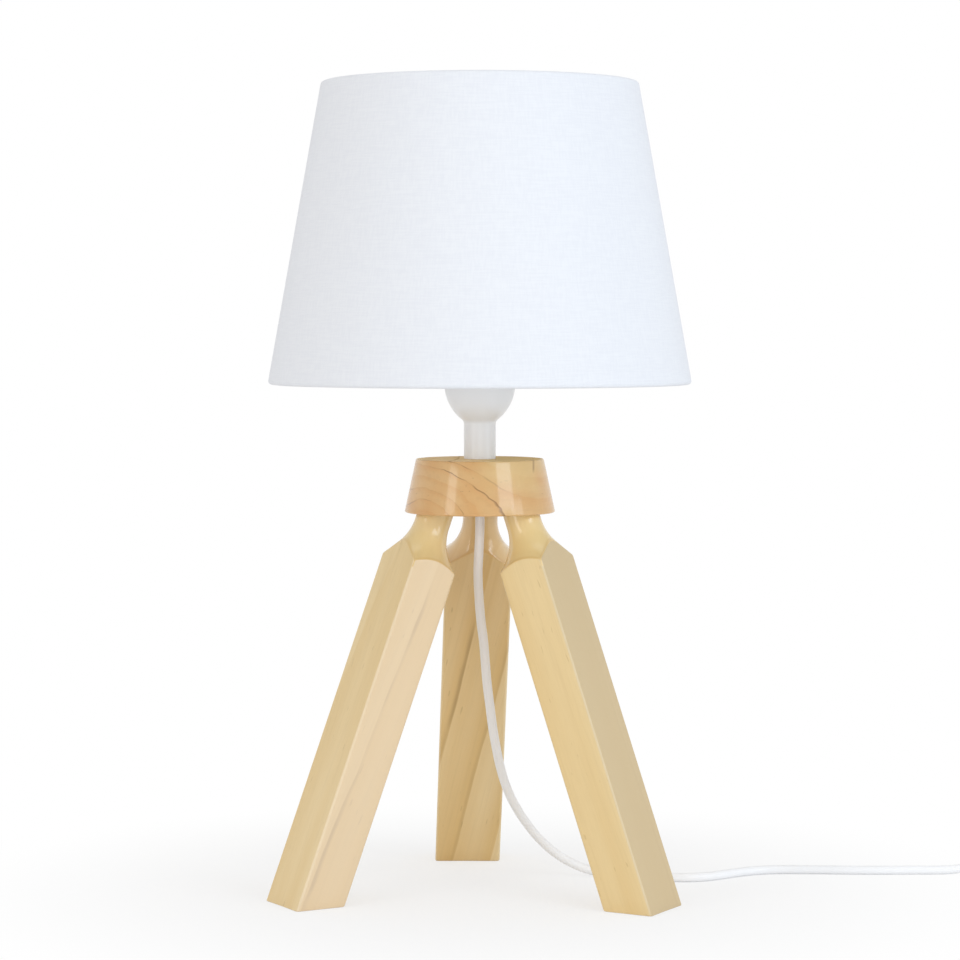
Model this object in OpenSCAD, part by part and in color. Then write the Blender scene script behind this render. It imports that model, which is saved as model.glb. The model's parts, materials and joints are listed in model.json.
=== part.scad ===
// Tripod table lamp: a turned hub on three splayed square legs, a screw lampholder
// on a stem, a tapered fabric shade on a wire carrier, and a cord with an inline
// switch and a flat two-pin plug.
// Millimetres. Z is up, the floor is z = 0 and the hub's axis is x = y = 0.
// The front of the lamp looks along -Y.

/* [Hub] */
// Diameter of the hub's top face
hub_top_d = 69.5; // [66:0.5:74]
// Diameter of the hub's underside
hub_bottom_d = 82; // [80:0.5:88]
// Thickness of the hub
hub_h = 29; // [27:0.5:32]
// Height of the hub's underside above the floor
hub_z = 207; // [202:1:212]
// Rounding of the hub's two rims
hub_edge = 0.8; // [0.5:0.1:3]

/* [Legs] */
// Width of a leg across its inner and outer faces
leg_w = 37; // [34:0.5:39]
// Thickness of a leg from its inner to its outer face
leg_t = 27; // [25:0.5:29]
// Rounding along a leg's four long edges
leg_edge = 1.5; // [0.5:0.1:3]
// Lean of a leg from upright, in degrees
leg_splay = 20.2; // [19.5:0.1:21]
// Distance of a foot's centre from the lamp's axis
foot_r = 102.5; // [100:0.5:105]
// How far the back leg's socket strays from its even third, in degrees
back_neck_drift = -1; // [-6:0.5:6]
// How far the back leg's lean strays from its even third, in degrees
back_drift = 5.8; // [-6:0.1:6]
// How far the left leg's lean strays from its even third, in degrees
left_drift = -5.5; // [-6:0.5:6]
// How far the right leg's lean strays from its even third, in degrees
right_drift = -2.5; // [-6:0.5:6]
// Diameter of the turned neck and of the tenon above it
neck_d = 19.2; // [18:0.1:20]
// Length of straight neck below the hub
neck_l = 6; // [4:0.5:8]
// Radius of the cove that opens the neck into the shoulder
cove_r = 26; // [20:0.5:30]
// Slope of the turned shoulder, in degrees from the leg's axis
shoulder_angle = 50; // [45:1:55]
// Length of the tenon inside the hub
tenon_l = 18; // [14:0.5:19]

/* [Lampholder] */
// Diameter of the stem between the hub and the cup
stem_d = 17.3; // [16.5:0.1:18.5]
// Largest diameter of the cup
cup_d = 38.6; // [38:0.1:40]
// Radius of the cup's curve
cup_curve = 25; // [24:0.5:27]
// Height of the cup's rim above the hub
cup_h = 41; // [40:0.5:42]
// Diameter of the flange that the shade's carrier rests on
flange_d = 46; // [45:0.5:50]
// Diameter of the outside thread for the shade ring
holder_thread_d = 39; // [38.8:0.1:39.2]
// Inside diameter of the screw shell that takes the bulb
screw_shell_d = 26.9; // [26.8:0.1:27]

/* [Shade] */
// Diameter of the shade's bottom rim
shade_bottom_d = 230; // [215:1:250]
// Diameter of the shade's top rim
shade_top_d = 171.5; // [160:0.5:190]
// Height of the shade from rim to rim
shade_h = 163; // [150:1:180]
// Height of the shade's bottom rim above the hub's top
shade_lift = 40.5; // [39:0.5:42]
// Thickness of the shade's laminate
shade_wall = 1; // [0.8:0.1:1.5]
// Diameter of the wires in the shade's two hems
wire_d = 2.5; // [2:0.1:3]

/* [Bulb] */
// Largest diameter of the bulb's glass
bulb_d = 37; // [34:0.5:38]
// Height of the glass above the lampholder's mouth
bulb_h = 73; // [65:1:80]
// Diameter of the bulb's screw cap
bulb_cap_d = 26; // [25.8:0.1:26.1]

/* [Cord] */
// Diameter of the round cord
cord_d = 5; // [4.8:0.1:5]
// Distance from one turn of the coil to the next, across and up
coil_pitch = 5.5; // [5.5:0.1:6]
// Smallest bend radius inside the coil
coil_inner_r = 21; // [20:0.5:22]
// Turns in each layer of the coil
coil_turns = 3; // [2:1:3]

/* [Switch and plug] */
// Length of the switch's housing without its collars
switch_l = 50; // [48:0.5:52]
// Width of the switch's housing
switch_w = 23; // [22:0.5:25]
// Height of the switch's housing
switch_h = 15; // [14.5:0.1:16]
// Angle that the rocker swings through, in degrees
rocker_swing = 14; // [10:1:14]
// Width of the plug's face
plug_w = 26; // [25.5:0.1:27]
// Height of the plug's face
plug_h = 14; // [13.7:0.1:14]
// Diameter of a plug pin
pin_d = 4; // [3.9:0.1:4.1]
// Distance between the pins' axes
pin_spacing = 18.6; // [18.5:0.1:19]

/* [Hidden] */

$fn = 96;
small_fn = 32;
arc_steps = 6;
cut = 1;                                // overshoot of a cutting tool past a face

// Colours, as seen
pine = [0.87, 0.78, 0.59];
hub_wood = [0.85, 0.70, 0.49];
white_plastic = [0.87, 0.87, 0.88];
white_cord = [0.91, 0.91, 0.91];
shade_white = [0.93, 0.94, 0.96];
white_wire = [0.90, 0.90, 0.90];
steel = [0.70, 0.71, 0.73];
brass = [0.80, 0.67, 0.38];
porcelain = [0.93, 0.92, 0.89];
clear_glass = [0.90, 0.94, 0.96, 0.35];
black_glass = [0.10, 0.10, 0.11];
filament_yellow = [0.93, 0.80, 0.35];

// Legs
leg_thirds = [90, 210, 330];            // even places of the back, left and right leg
leg_drifts = [back_drift, left_drift, right_drift];
neck_drifts = [back_neck_drift, left_drift, right_drift];
neck_place_r = foot_r - hub_z * tan(leg_splay);
glue_gap = 0.05;
socket_spare = 0.5;
tenon_chamfer = 1;
leg_l = hub_z / cos(leg_splay);         // from the hub's underside to the floor
foot_spare = 20;                        // extra length, sawn off level with the floor
cove_out_r = neck_d / 2 + cove_r * (1 - cos(shoulder_angle));
cove_end = neck_l + cove_r * sin(shoulder_angle);
blank_r = norm([leg_w, leg_t]) / 2 + 1;
shoulder_end = cove_end + (blank_r - cove_out_r) / tan(shoulder_angle);

// Rod and what it clamps
hub_top = hub_z + hub_h;
rod_d = 10;
rod_bore_d = 8;
rod_hole_d = 10.4;
rod_bottom = hub_z + 2.3;
rod_top = hub_top + 29.5;
pocket_d = 22;
pocket_depth = 9;
washer_d = 20;
washer_t = 1.2;
nut_across = 14;
nut_t = 4;
hex_corner = 1 / cos(30);               // corner radius of a hexagon of half width 1
bush_flange_d = 11.4;
bush_flange_t = 1.3;
bush_l = 5.5;
bush_hole_d = cord_d + 0.2;
cord_top = rod_bottom - bush_flange_t;

// Lampholder, with heights above the hub's top
cup_wall = 1.8;
cup_centre = [cup_d / 2 - cup_curve, cup_h];
cup_fillet = 3;
fillet_centre = [stem_d / 2 + cup_fillet,
    cup_h - sqrt(pow(cup_curve + cup_fillet, 2)
        - pow(stem_d / 2 + cup_fillet - cup_centre[0], 2))];
fillet_end = cup_centre + (fillet_centre - cup_centre) * cup_curve / (cup_curve + cup_fillet);
cup_floor = 24;
rod_fit_d = rod_d + 0.1;
collar_r = [15.8, 17.4];
ledge_r = 14.3;
ledge_h = cup_h - 4;
ledge_t = 2;
collar_top = cup_h + 7;
insert_d = 31.4;
insert_edge = 0.5;
insert_screw_y = 10;
nipple_t = 5.5;
lock_screw_l = 3.5;
flange_top = cup_h + 6;
thread_top = cup_h + 27;
mouth = cup_h + 41;
shell_sheet = 0.5;
shell_bore_r = screw_shell_d / 2 + 0.65;
shell_wall_r = screw_shell_d / 2 + shell_sheet;
shell_floor_r = 10;
shell_top = cup_h + 35;
terminal_x = 8;
terminal = [6, 6, 6];
terminal_z = cup_h - 8;
screw_head_d = 5;
screw_head_t = 1.5;
screw_d = 2.9;
screw_hole_d = 3;
contact_w = 6;
leaf_t = 0.5;
leaf_x = [-8, 4];                       // the leaf's bend and its screwed-down end
leaf_pad = 3;
tip_gap = 0.3;
lead_split = cup_floor + 3;
lead_bend = 3.6;
core_d = 1.8;
core_x = 1.3;

// Shade
shade_z = hub_top + shade_lift;
shade_slope = atan((shade_bottom_d - shade_top_d) / 2 / shade_h);
hem_gap = 0.1;
hem_r = wire_d / 2 + hem_gap + 0.6;
carrier_hole_d = 40.6;
carrier_d = 52;
carrier_t = 1.4;
seat_gap = 0.1;
carrier_z = hub_top + flange_top + seat_gap;
ring_hole_d = holder_thread_d + 0.7;
ring_d = 56;
ring_collar_d = 47;
ring_h = 7.5;
ring_z = carrier_z + carrier_t + 2 * seat_gap;
ring_edge = 0.5;
ring_flange_t = 2;
ring_ribs = 18;
ring_rib_d = 2;
arm_d = wire_d - 0.3;
arm_notch_d = arm_d + 0.8;

// Bulb
bulb_z = hub_top + cup_h + 13.5;        // the tip contact's lowest point
glass_wall = 0.8;
glass_z = hub_top + mouth + 0.5;
glass_neck_r = bulb_cap_d / 2 - 0.5;
glass_inside = 6;
belly_part = 0.34;                      // share of the glass's height below its belly
tip_power = 2.2;
glass_steps = 12;
stem_foot = [-4, -2.5];                 // lower and upper edge of the glass stem's foot
stem_top_h = 14;
stem_top_r = 2.5;
stick_r = 5.5;                          // distance of a light stick from the bulb's axis
stick_d = 1.6;
stick_ends = [15, 44];
stick_lead_d = 0.8;
cap_low = 7;                            // heights above the tip contact's lowest point
cap_high = 27;
cap_sheet = 0.4;
tip_rim = [10.4, 4.8];                  // where the cap's lower edge meets the black glass
contact_h = 1.2;
contact_r = 4.6;

// Cord. The route starts under the hub, lands behind the right leg and runs on
// to the switch outside the view. Points are centres, one ring of the tube each.
cord_sides = 10;
coil_sides = 6;
coil_rings = 24;                        // rings in one turn of the coil
entry_z = 7;                            // height of the cord in the switch and the plug
route = [[0, 0, cord_top], [0, 0, 198], [-0.5, 0, 186], [-1, 0.5, 174], [-0.5, 1, 161],
    [0.5, 2, 148], [2, 3, 136], [3, 4.5, 124], [4, 6, 112], [5.5, 8, 100],
    [7, 10.5, 88], [9, 13.5, 76], [11.5, 17, 64], [15, 21, 52.5], [20, 25, 41.5],
    [26.5, 29, 31], [34, 33, 21.5], [42.5, 36.5, 13.5], [52, 38.5, 7.5], [62.5, 38.5, 3.5],
    [74, 35.5, 2.5], [86, 30, 2.5], [98, 25, 2.5], [110, 22, 2.5], [122, 23, 2.5],
    [133, 29, 2.5], [143.5, 37, 2.5], [154.5, 43.5, 2.5], [167, 46.5, 2.5],
    [180, 46.5, 2.5], [193, 46, 2.5], [206, 45, 2.5], [219, 44.5, 2.5], [232, 44.5, 2.5],
    [244, 45, 2.5], [256, 45, 2.5], [267, 45, 3], [278, 45, 5], [288, 45, entry_z],
    [296, 45, entry_z]];
switch_start = 296;
switch_collar_l = 6;
switch_end = switch_start + switch_l + 2 * switch_collar_l;
switch_y = 45;
tie_w = 4;
tie_t = 0.8;
tie_corner = 1.6;
coil_low = 3.5;                         // height of the lower layer's centreline
coil_outer_r = coil_inner_r + coil_turns * coil_pitch;
coil_x = 392;
coil_y = switch_y - coil_outer_r;
coil_lead = cord_d;
last_x = coil_x + coil_outer_r + coil_pitch / 4;
link_route = [[switch_end, switch_y, entry_z], [switch_end + 6, switch_y, entry_z],
    [switch_end + 14, switch_y, 5.5], [switch_end + 22, switch_y, coil_low],
    [coil_x - coil_lead, switch_y, coil_low]];
plug_x = 420;
plug_y = -46;
plug_lead = 3;

// The last run swings from the coil's edge over to the plug along half a cosine wave
coil_out = [last_x, coil_y - coil_lead, coil_low + coil_pitch];
swing_from = coil_out - [0, 2 * coil_lead, 0];
swing_to = [plug_x, plug_y + plug_lead, entry_z];
swing_steps = 6;
function swing(t) = swing_from + [(swing_to[0] - swing_from[0]) * (1 - cos(180 * t)) / 2,
    (swing_to[1] - swing_from[1]) * t, (swing_to[2] - swing_from[2]) * (1 - cos(180 * t)) / 2];
end_route = concat([coil_out], [for (i = [0:swing_steps]) swing(i / swing_steps)],
    [[plug_x, plug_y, entry_z]]);

// Switch
switch_wall = 1.8;
switch_corner = 9;
switch_seam = entry_z;
crown = 3;                              // how far the cover's top falls towards its ends
crown_r = (pow(switch_l / 2, 2) + pow(crown, 2)) / (2 * crown);
collar_d = 9;
pivot_z = 9.5;
pivot_d = 3;
pivot_reach = 7.7;
running_gap = 0.05;
window = [20.6, 12.8];
rocker_w = 12;
rocker_half_l = 9.2;
rocker_top = [5.4, 6.6];                // height above the pivot at the middle and the ends
rocker_low = [-1, 1];                   // the same below
rocker_heel = 2;
rib_t = 1.7;
rib_l = 8;
post_places = [[-18, 6], [18, -6]];
post_d = 7;
screw_recess = 1.2;
screw_inset = 0.3;
screw_bite = 4;                         // how far a screw's hole goes into the cover
contact_x = [4, 12];                    // inner and outer end of a contact strip
contact_t = 0.6;
contact_strip_w = 5;
tongue_w = 2.4;
core_y = 1.1;
switch_core_d = 1.6;

// Plug, along its own +X from where the cord goes in
relief_l = 22;
relief_r = [3.1, 4.8];
relief_sunk = 2;
body_l = 26;
body_entry = [14, 11];                  // width and height where the body begins
body_swell = [14, 10];                  // how far on the full width and height are reached
body_bend_r = 3;
body_corner = 1.5;
body_bevel = [4.4, 4.4];                // sloping corners of the face, across and up
pin_l = 19;
pin_tip_r = 1;
pin_hole_spare = 0.2;
pin_root = 8;
pin_root_d = 4.8;
sleeve_l = 10;
sleeve_d = pin_d - 0.4;
pin_waist_d = 2.6;

// ---- shared helpers ----

function arc(centre, r, a0, a1, n = arc_steps) =
    [for (i = [0:n]) let (a = a0 + (a1 - a0) * i / n) centre + r * [cos(a), sin(a)]];

// A rectangle with round corners, from plain squares and circles
module round_rect(size, r) {
    square([size[0] - 2 * r, size[1]], center = true);
    square([size[0], size[1] - 2 * r], center = true);
    for (sx = [-1, 1], sy = [-1, 1])
        translate([sx * (size[0] / 2 - r), sy * (size[1] / 2 - r)]) circle(r, $fn = small_fn);
}

module ring_2d(outer_r, inner_r, h) {
    translate([inner_r, 0]) square([outer_r - inner_r, h]);
}

// A straight wire from one point to another
module wire(a, b, d) {
    v = b - a;
    translate(a)
        rotate([0, acos(v[2] / norm(v)), atan2(v[1], v[0])])
            cylinder(d = d, h = norm(v), $fn = small_fn);
}

function unit(v) = v / norm(v);
function direction(p, i) = unit(p[min(i + 1, len(p) - 1)] - p[max(i - 1, 0)]);
function sides_of(p, n, i = 0) = i == len(p) ? [] :
    let (t = direction(p, i), m = unit(n - (n * t) * t)) concat([m], sides_of(p, m, i + 1));

// A closed round tube along a list of points, with one ring of corners a point
module tube(p, r, sides, first_side) {
    n = sides_of(p, first_side);
    corners = [for (i = [0:len(p) - 1], k = [0:sides - 1])
        let (a = 360 * k / sides, b = cross(direction(p, i), n[i]))
            p[i] + r * (cos(a) * n[i] + sin(a) * b)];
    last = (len(p) - 1) * sides;
    walls = [for (i = [0:len(p) - 2], k = [0:sides - 1])
        let (a = i * sides + k, b = i * sides + (k + 1) % sides)
            each [[a, a + sides, b], [b, a + sides, b + sides]]];
    caps = [for (k = [1:sides - 2]) each [[0, k, k + 1], [last, last + k + 1, last + k]]];
    polyhedron(corners, concat(walls, caps));
}

function path_length(p) =
    len(p) < 2 ? 0 : norm(p[1] - p[0]) + path_length([for (i = [1:len(p) - 1]) p[i]]);

// ---- hub and legs ----

// The hub's half section: a cone with both rims eased
module hub_outline() {
    slope = atan((hub_bottom_d - hub_top_d) / 2 / hub_h);
    low = [hub_bottom_d / 2 - hub_edge * (1 + sin(slope)) / cos(slope), hub_edge];
    high = [hub_top_d / 2 - hub_edge * (1 - sin(slope)) / cos(slope), hub_h - hub_edge];
    polygon(concat([[0, 0]], arc(low, hub_edge, -90, slope), arc(high, hub_edge, slope, 90),
        [[0, hub_h]]));
}

// A leg's own frame: its axis crosses the hub's underside at the origin, z runs
// up the leg and x points away from the lamp
module leg_frame(i) {
    rotate([0, 0, leg_thirds[i] + neck_drifts[i]])
        translate([neck_place_r, 0, hub_z])
            rotate([0, 0, leg_drifts[i] - neck_drifts[i]])
                rotate([0, -leg_splay, 0])
                    children();
}

module hub() {
    color(hub_wood)
        difference() {
            translate([0, 0, hub_z]) rotate_extrude() hub_outline();
            translate([0, 0, hub_z - cut]) cylinder(d = rod_hole_d, h = hub_h + 2 * cut);
            translate([0, 0, hub_z - cut]) cylinder(d = pocket_d, h = pocket_depth + cut);
            for (i = [0:2])
                leg_frame(i)
                    translate([0, 0, -neck_d])
                        cylinder(d = neck_d + 2 * glue_gap, h = neck_d + tenon_l + socket_spare);
        }
}

// Half section of the turning: tenon and neck, a cove, a conical shoulder, and
// below it the full blank. Where this meets the bar's flat faces it leaves arches.
module leg_turning() {
    difference() {
        polygon([[0, tenon_l], [neck_d / 2 - tenon_chamfer, tenon_l],
            [neck_d / 2, tenon_l - tenon_chamfer], [neck_d / 2, -neck_l],
            [cove_out_r, -neck_l], [cove_out_r, -cove_end], [blank_r, -shoulder_end],
            [blank_r, -leg_l - foot_spare], [0, -leg_l - foot_spare]]);
        translate([neck_d / 2 + cove_r, -neck_l]) circle(cove_r);
    }
}

module leg(i) {
    color(pine)
        difference() {
            leg_frame(i)
                rotate([0, 0, -leg_drifts[i]])
                    intersection() {
                        translate([0, 0, -leg_l - foot_spare])
                            linear_extrude(leg_l + foot_spare + tenon_l)
                                round_rect([leg_t, leg_w], leg_edge);
                        rotate_extrude() leg_turning();
                    }
            translate([-2 * foot_r, -2 * foot_r, -4 * foot_spare])
                cube([4 * foot_r, 4 * foot_r, 4 * foot_spare]);
        }
}

module leg_back() { leg(0); }
module leg_left() { leg(1); }
module leg_right() { leg(2); }

// ---- rod through the hub ----

module threaded_rod() {
    color(steel)
        translate([0, 0, rod_bottom])
            difference() {
                cylinder(d = rod_d, h = rod_top - rod_bottom);
                translate([0, 0, -cut]) cylinder(d = rod_bore_d, h = rod_top - rod_bottom + 2 * cut);
            }
}

module rod_washer() {
    color(steel)
        translate([0, 0, hub_z + pocket_depth - washer_t])
            difference() {
                cylinder(d = washer_d, h = washer_t);
                translate([0, 0, -cut]) cylinder(d = rod_hole_d, h = washer_t + 2 * cut);
            }
}

// A hexagon nut on the rod
module hex_nut(t) {
    difference() {
        cylinder(r = nut_across / 2 * hex_corner, h = t, $fn = 6);
        translate([0, 0, -cut]) cylinder(d = rod_fit_d, h = t + 2 * cut);
    }
}

module rod_nut() {
    color(steel) translate([0, 0, hub_z + pocket_depth - washer_t - nut_t]) hex_nut(nut_t);
}

// Flanged plastic bush that keeps the cord off the rod's edge
module rod_bush() {
    color(white_plastic)
        translate([0, 0, cord_top])
            rotate_extrude()
                polygon([[bush_hole_d / 2, 0], [bush_flange_d / 2 - 0.5, 0],
                    [bush_flange_d / 2, 0.5], [bush_flange_d / 2, bush_flange_t],
                    [rod_bore_d / 2 - glue_gap, bush_flange_t],
                    [rod_bore_d / 2 - glue_gap, bush_flange_t + bush_l],
                    [bush_hole_d / 2, bush_flange_t + bush_l]]);
}

// ---- lampholder ----

// Half section of the moulding: stem, fillet, bowl, and the collar that takes the shell
module cup_section() {
    difference() {
        union() {
            square([stem_d / 2, fillet_centre[1]]);
            polygon([[0, fillet_centre[1]], fillet_centre, fillet_end, [0, fillet_end[1]]]);
            intersection() {
                translate(cup_centre) circle(cup_curve);
                translate([0, fillet_end[1]]) square([cup_d, cup_h - fillet_end[1]]);
            }
        }
        translate(fillet_centre) circle(cup_fillet, $fn = small_fn);
        translate([-cut, -cut]) square([rod_fit_d / 2 + cut, cup_floor + 2 * cut]);
        intersection() {
            translate(cup_centre) circle(cup_curve - cup_wall);
            translate([-cut, cup_floor]) square([cup_d, cup_h]);
        }
    }
    translate([0, ledge_h]) ring_2d(collar_r[1], collar_r[0], collar_top - ledge_h);
    translate([0, ledge_h]) ring_2d(collar_r[1], ledge_r, ledge_t);
}

module holder_cup() {
    color(white_plastic) translate([0, 0, hub_top]) rotate_extrude() cup_section();
}

module entry_nipple() {
    color(steel)
        translate([0, 0, hub_top + cup_floor])
            difference() {
                hex_nut(nipple_t);
                translate([0, 0, nipple_t / 2])
                    rotate([-90, 0, 0]) cylinder(d = screw_hole_d, h = nut_across, $fn = small_fn);
            }
}

module lock_screw() {
    color(steel)
        translate([0, rod_fit_d / 2, hub_top + cup_floor + nipple_t / 2])
            rotate([-90, 0, 0]) cylinder(d = screw_d, h = lock_screw_l, $fn = small_fn);
}

module holder_insert() {
    insert_r = insert_d / 2;
    insert_h = collar_top - ledge_h - ledge_t;
    color(porcelain)
        translate([0, 0, hub_top + ledge_h + ledge_t])
            difference() {
                rotate_extrude()
                    polygon([[0, 0], [insert_r - insert_edge, 0], [insert_r, insert_edge],
                        [insert_r, insert_h - insert_edge], [insert_r - insert_edge, insert_h],
                        [0, insert_h]]);
                for (side = [-1, 1])
                    translate([0, side * insert_screw_y, -cut])
                        cylinder(d = screw_hole_d, h = insert_h + 2 * cut, $fn = small_fn);
            }
}

module terminal_blocks() {
    color(brass)
        for (side = [-1, 1])
            translate([side * terminal_x, 0, hub_top + terminal_z])
                difference() {
                    translate([-terminal[0] / 2, -terminal[1] / 2, 0]) cube(terminal);
                    translate([0, 0, terminal[2] / 2])
                        rotate([0, side * 90, 0])
                            cylinder(d = screw_hole_d, h = terminal[0], $fn = small_fn);
                }
}

module terminal_screws() {
    color(brass)
        for (side = [-1, 1])
            translate([side * terminal_x, 0, hub_top + terminal_z + terminal[2] / 2])
                rotate([0, side * 90, 0]) {
                    translate([0, 0, glue_gap])
                        cylinder(d = screw_d, h = (terminal[0] + screw_head_t) / 2, $fn = small_fn);
                    translate([0, 0, terminal[0] / 2 + glue_gap])
                        cylinder(d = screw_head_d, h = screw_head_t, $fn = small_fn);
                }
}

// Bent leaf spring under the bulb's tip, seen from the front and pushed along Y
module centre_contact() {
    reach = bulb_z - hub_top - collar_top - tip_gap;
    color(brass)
        translate([0, contact_w / 2, hub_top + collar_top])
            rotate([90, 0, 0])
                linear_extrude(contact_w)
                    polygon([[leaf_x[0], 0], [leaf_x[1], 0], [leaf_x[1], leaf_t],
                        [leaf_x[0] + 2 * leaf_t, leaf_t], [0, reach - leaf_t],
                        [leaf_pad, reach - leaf_t], [leaf_pad, reach], [-leaf_t / 2, reach],
                        [leaf_x[0], 2 * leaf_t]]);
}

module screw_shell() {
    inner_r = screw_shell_d / 2;
    shell_h = shell_top - collar_top;
    color(brass)
        translate([0, 0, hub_top + collar_top])
            rotate_extrude()
                polygon([[shell_floor_r, 0], [shell_wall_r, 0], [shell_wall_r, shell_h],
                    [inner_r, shell_h], [inner_r, shell_sheet], [shell_floor_r, shell_sheet]]);
}

module holder_shell() {
    base_r = cup_d / 2;
    thread_r = holder_thread_d / 2;
    color(white_plastic)
        translate([0, 0, hub_top])
            rotate_extrude()
                polygon([[collar_r[1] + 0.1, cup_h], [base_r, cup_h], [base_r, cup_h + 3],
                    [flange_d / 2 - 1, cup_h + 4.2], [flange_d / 2, cup_h + 4.5],
                    [flange_d / 2, flange_top], [thread_r, flange_top], [thread_r, thread_top],
                    [thread_r - 0.7, thread_top + 2], [thread_r - 1.2, mouth - 1],
                    [thread_r - 2, mouth], [shell_bore_r + 1, mouth], [shell_bore_r, mouth - 1],
                    [shell_bore_r, collar_top + 1], [collar_r[1] + 0.1, collar_top + 1]]);
}

// The cord's sheath inside the rod, and its two cores up to the terminals
module lamp_lead() {
    split = hub_top + lead_split;
    color(white_cord) {
        translate([0, 0, cord_top]) cylinder(d = cord_d, h = split - cord_top);
        for (side = [-1, 1]) {
            bend = [side * core_x, 0, split + lead_bend];
            under = [side * terminal_x, 0, hub_top + terminal_z - 1];
            wire([side * core_x, 0, split], bend, core_d);
            translate(bend) sphere(d = core_d, $fn = small_fn);
            wire(bend, under, core_d);
            translate(under) sphere(d = core_d, $fn = small_fn);
            wire(under, under + [0, 0, 1], core_d);
        }
    }
}

// ---- shade ----

module shade_ring() {
    flange_r = ring_d / 2;
    collar_outer_r = ring_collar_d / 2;
    color(white_plastic)
        translate([0, 0, ring_z])
            difference() {
                union() {
                    rotate_extrude()
                        polygon([[0, 0], [flange_r - ring_edge, 0], [flange_r, ring_edge],
                            [flange_r, ring_flange_t - ring_edge],
                            [flange_r - ring_edge, ring_flange_t],
                            [collar_outer_r, ring_flange_t + ring_edge],
                            [collar_outer_r - 1, ring_h], [0, ring_h]]);
                    for (i = [0:ring_ribs - 1])
                        rotate([0, 0, 360 * i / ring_ribs])
                            translate([collar_outer_r, 0, ring_flange_t / 2])
                                cylinder(d = ring_rib_d, h = ring_h - ring_flange_t, $fn = small_fn);
                }
                translate([0, 0, -cut]) cylinder(d = ring_hole_d, h = ring_h + 2 * cut);
            }
}

// Radius of the shade's outside at a height above its bottom rim
function shade_r(h) = shade_bottom_d / 2 - h * tan(shade_slope);
low_wire = [shade_r(hem_r) - hem_r / cos(shade_slope), hem_r];
high_wire = [shade_r(shade_h - hem_r) - hem_r / cos(shade_slope), shade_h - hem_r];

// An arm's ends, at the edge of the carrier's centre ring and at the bottom wire
arm_in = [carrier_d / 2 - 1, 0, carrier_z];
arm_out = [low_wire[0], 0, shade_z + low_wire[1]];
notch_in = arm_out + 8 * unit(arm_in - arm_out);

// The laminate: a tapered wall with a hem rolled round a wire at each rim
module shade_cover() {
    across = shade_wall / cos(shade_slope);
    color(shade_white)
        difference() {
            translate([0, 0, shade_z])
                rotate_extrude()
                    difference() {
                        union() {
                            polygon([[shade_r(hem_r), hem_r],
                                [shade_r(shade_h - hem_r), shade_h - hem_r],
                                [shade_r(shade_h - hem_r) - across, shade_h - hem_r],
                                [shade_r(hem_r) - across, hem_r]]);
                            translate(low_wire) circle(hem_r, $fn = small_fn);
                            translate(high_wire) circle(hem_r, $fn = small_fn);
                        }
                        translate(low_wire) circle(wire_d / 2 + hem_gap, $fn = small_fn);
                        translate(high_wire) circle(wire_d / 2 + hem_gap, $fn = small_fn);
                    }
            for (a = leg_thirds) rotate([0, 0, a]) wire(notch_in, arm_out, arm_notch_d);
        }
}

module ring_wire(place) {
    translate([0, 0, shade_z + place[1]])
        rotate_extrude() translate([place[0], 0]) circle(d = wire_d, $fn = small_fn);
}

module shade_top_wire() {
    color(white_wire) ring_wire(high_wire);
}

module shade_carrier() {
    color(white_wire) {
        translate([0, 0, carrier_z])
            rotate_extrude() ring_2d(carrier_d / 2, carrier_hole_d / 2, carrier_t);
        for (a = leg_thirds) rotate([0, 0, a]) wire(arm_in, arm_out, arm_d);
        ring_wire(low_wire);
    }
}

// ---- bulb ----

// Outside radius of the glass at a share of its height: it swells from the neck to
// the belly along a quarter sine, then closes to a blunt candle tip
function glass_r(t) = t < belly_part
    ? glass_neck_r + (bulb_d / 2 - glass_neck_r) * sin(90 * t / belly_part)
    : bulb_d / 2 * (1 - pow((t - belly_part) / (1 - belly_part), tip_power));

module bulb_glass() {
    outside = [for (i = [0:glass_steps]) let (t = i / glass_steps) [glass_r(t), t * bulb_h]];
    inside = [for (i = [glass_steps - 1:-1:0]) let (t = i / glass_steps)
        [glass_r(t) - glass_wall, t * bulb_h]];
    color(clear_glass)
        translate([0, 0, glass_z])
            rotate_extrude()
                polygon(concat([[glass_neck_r, -glass_inside]], outside,
                    [[0, bulb_h - 2 * glass_wall]], inside,
                    [[glass_neck_r - glass_wall, -glass_inside]]));
}

// Glass stem with its foot in the neck, and four upright filament sticks
module bulb_filaments() {
    base_r = glass_neck_r - glass_wall - glue_gap;
    color(filament_yellow)
        translate([0, 0, glass_z]) {
            rotate_extrude()
                polygon([[0, stem_foot[0]], [base_r, stem_foot[0]], [base_r, stem_foot[1]],
                    [stem_top_r + stick_d, stem_top_h / 4], [stem_top_r, stem_top_h],
                    [0, stem_top_h]]);
            for (a = [45:90:315])
                rotate([0, 0, a]) {
                    wire([0, 0, stem_top_h - 1], [stick_r, 0, stick_ends[0]], stick_lead_d);
                    wire([stick_r, 0, stick_ends[0] - 0.2], [stick_r, 0, stick_ends[1]], stick_d);
                    wire([stick_r, 0, stick_ends[1] - 0.2], [0, 0, stick_ends[1] + 2], stick_lead_d);
                }
        }
}

module bulb_cap() {
    cap_r = bulb_cap_d / 2;
    color(steel)
        translate([0, 0, bulb_z])
            rotate_extrude()
                polygon([[tip_rim[0] - 0.2, tip_rim[1] + 0.2], [tip_rim[0] + 0.2, tip_rim[1] - 0.2],
                    [cap_r, cap_low], [cap_r, cap_high], [cap_r - cap_sheet, cap_high + cap_sheet],
                    [cap_r - cap_sheet, cap_low + cap_sheet],
                    [tip_rim[0] - 0.2, tip_rim[1] + cap_sheet + 0.1]]);
}

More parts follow.
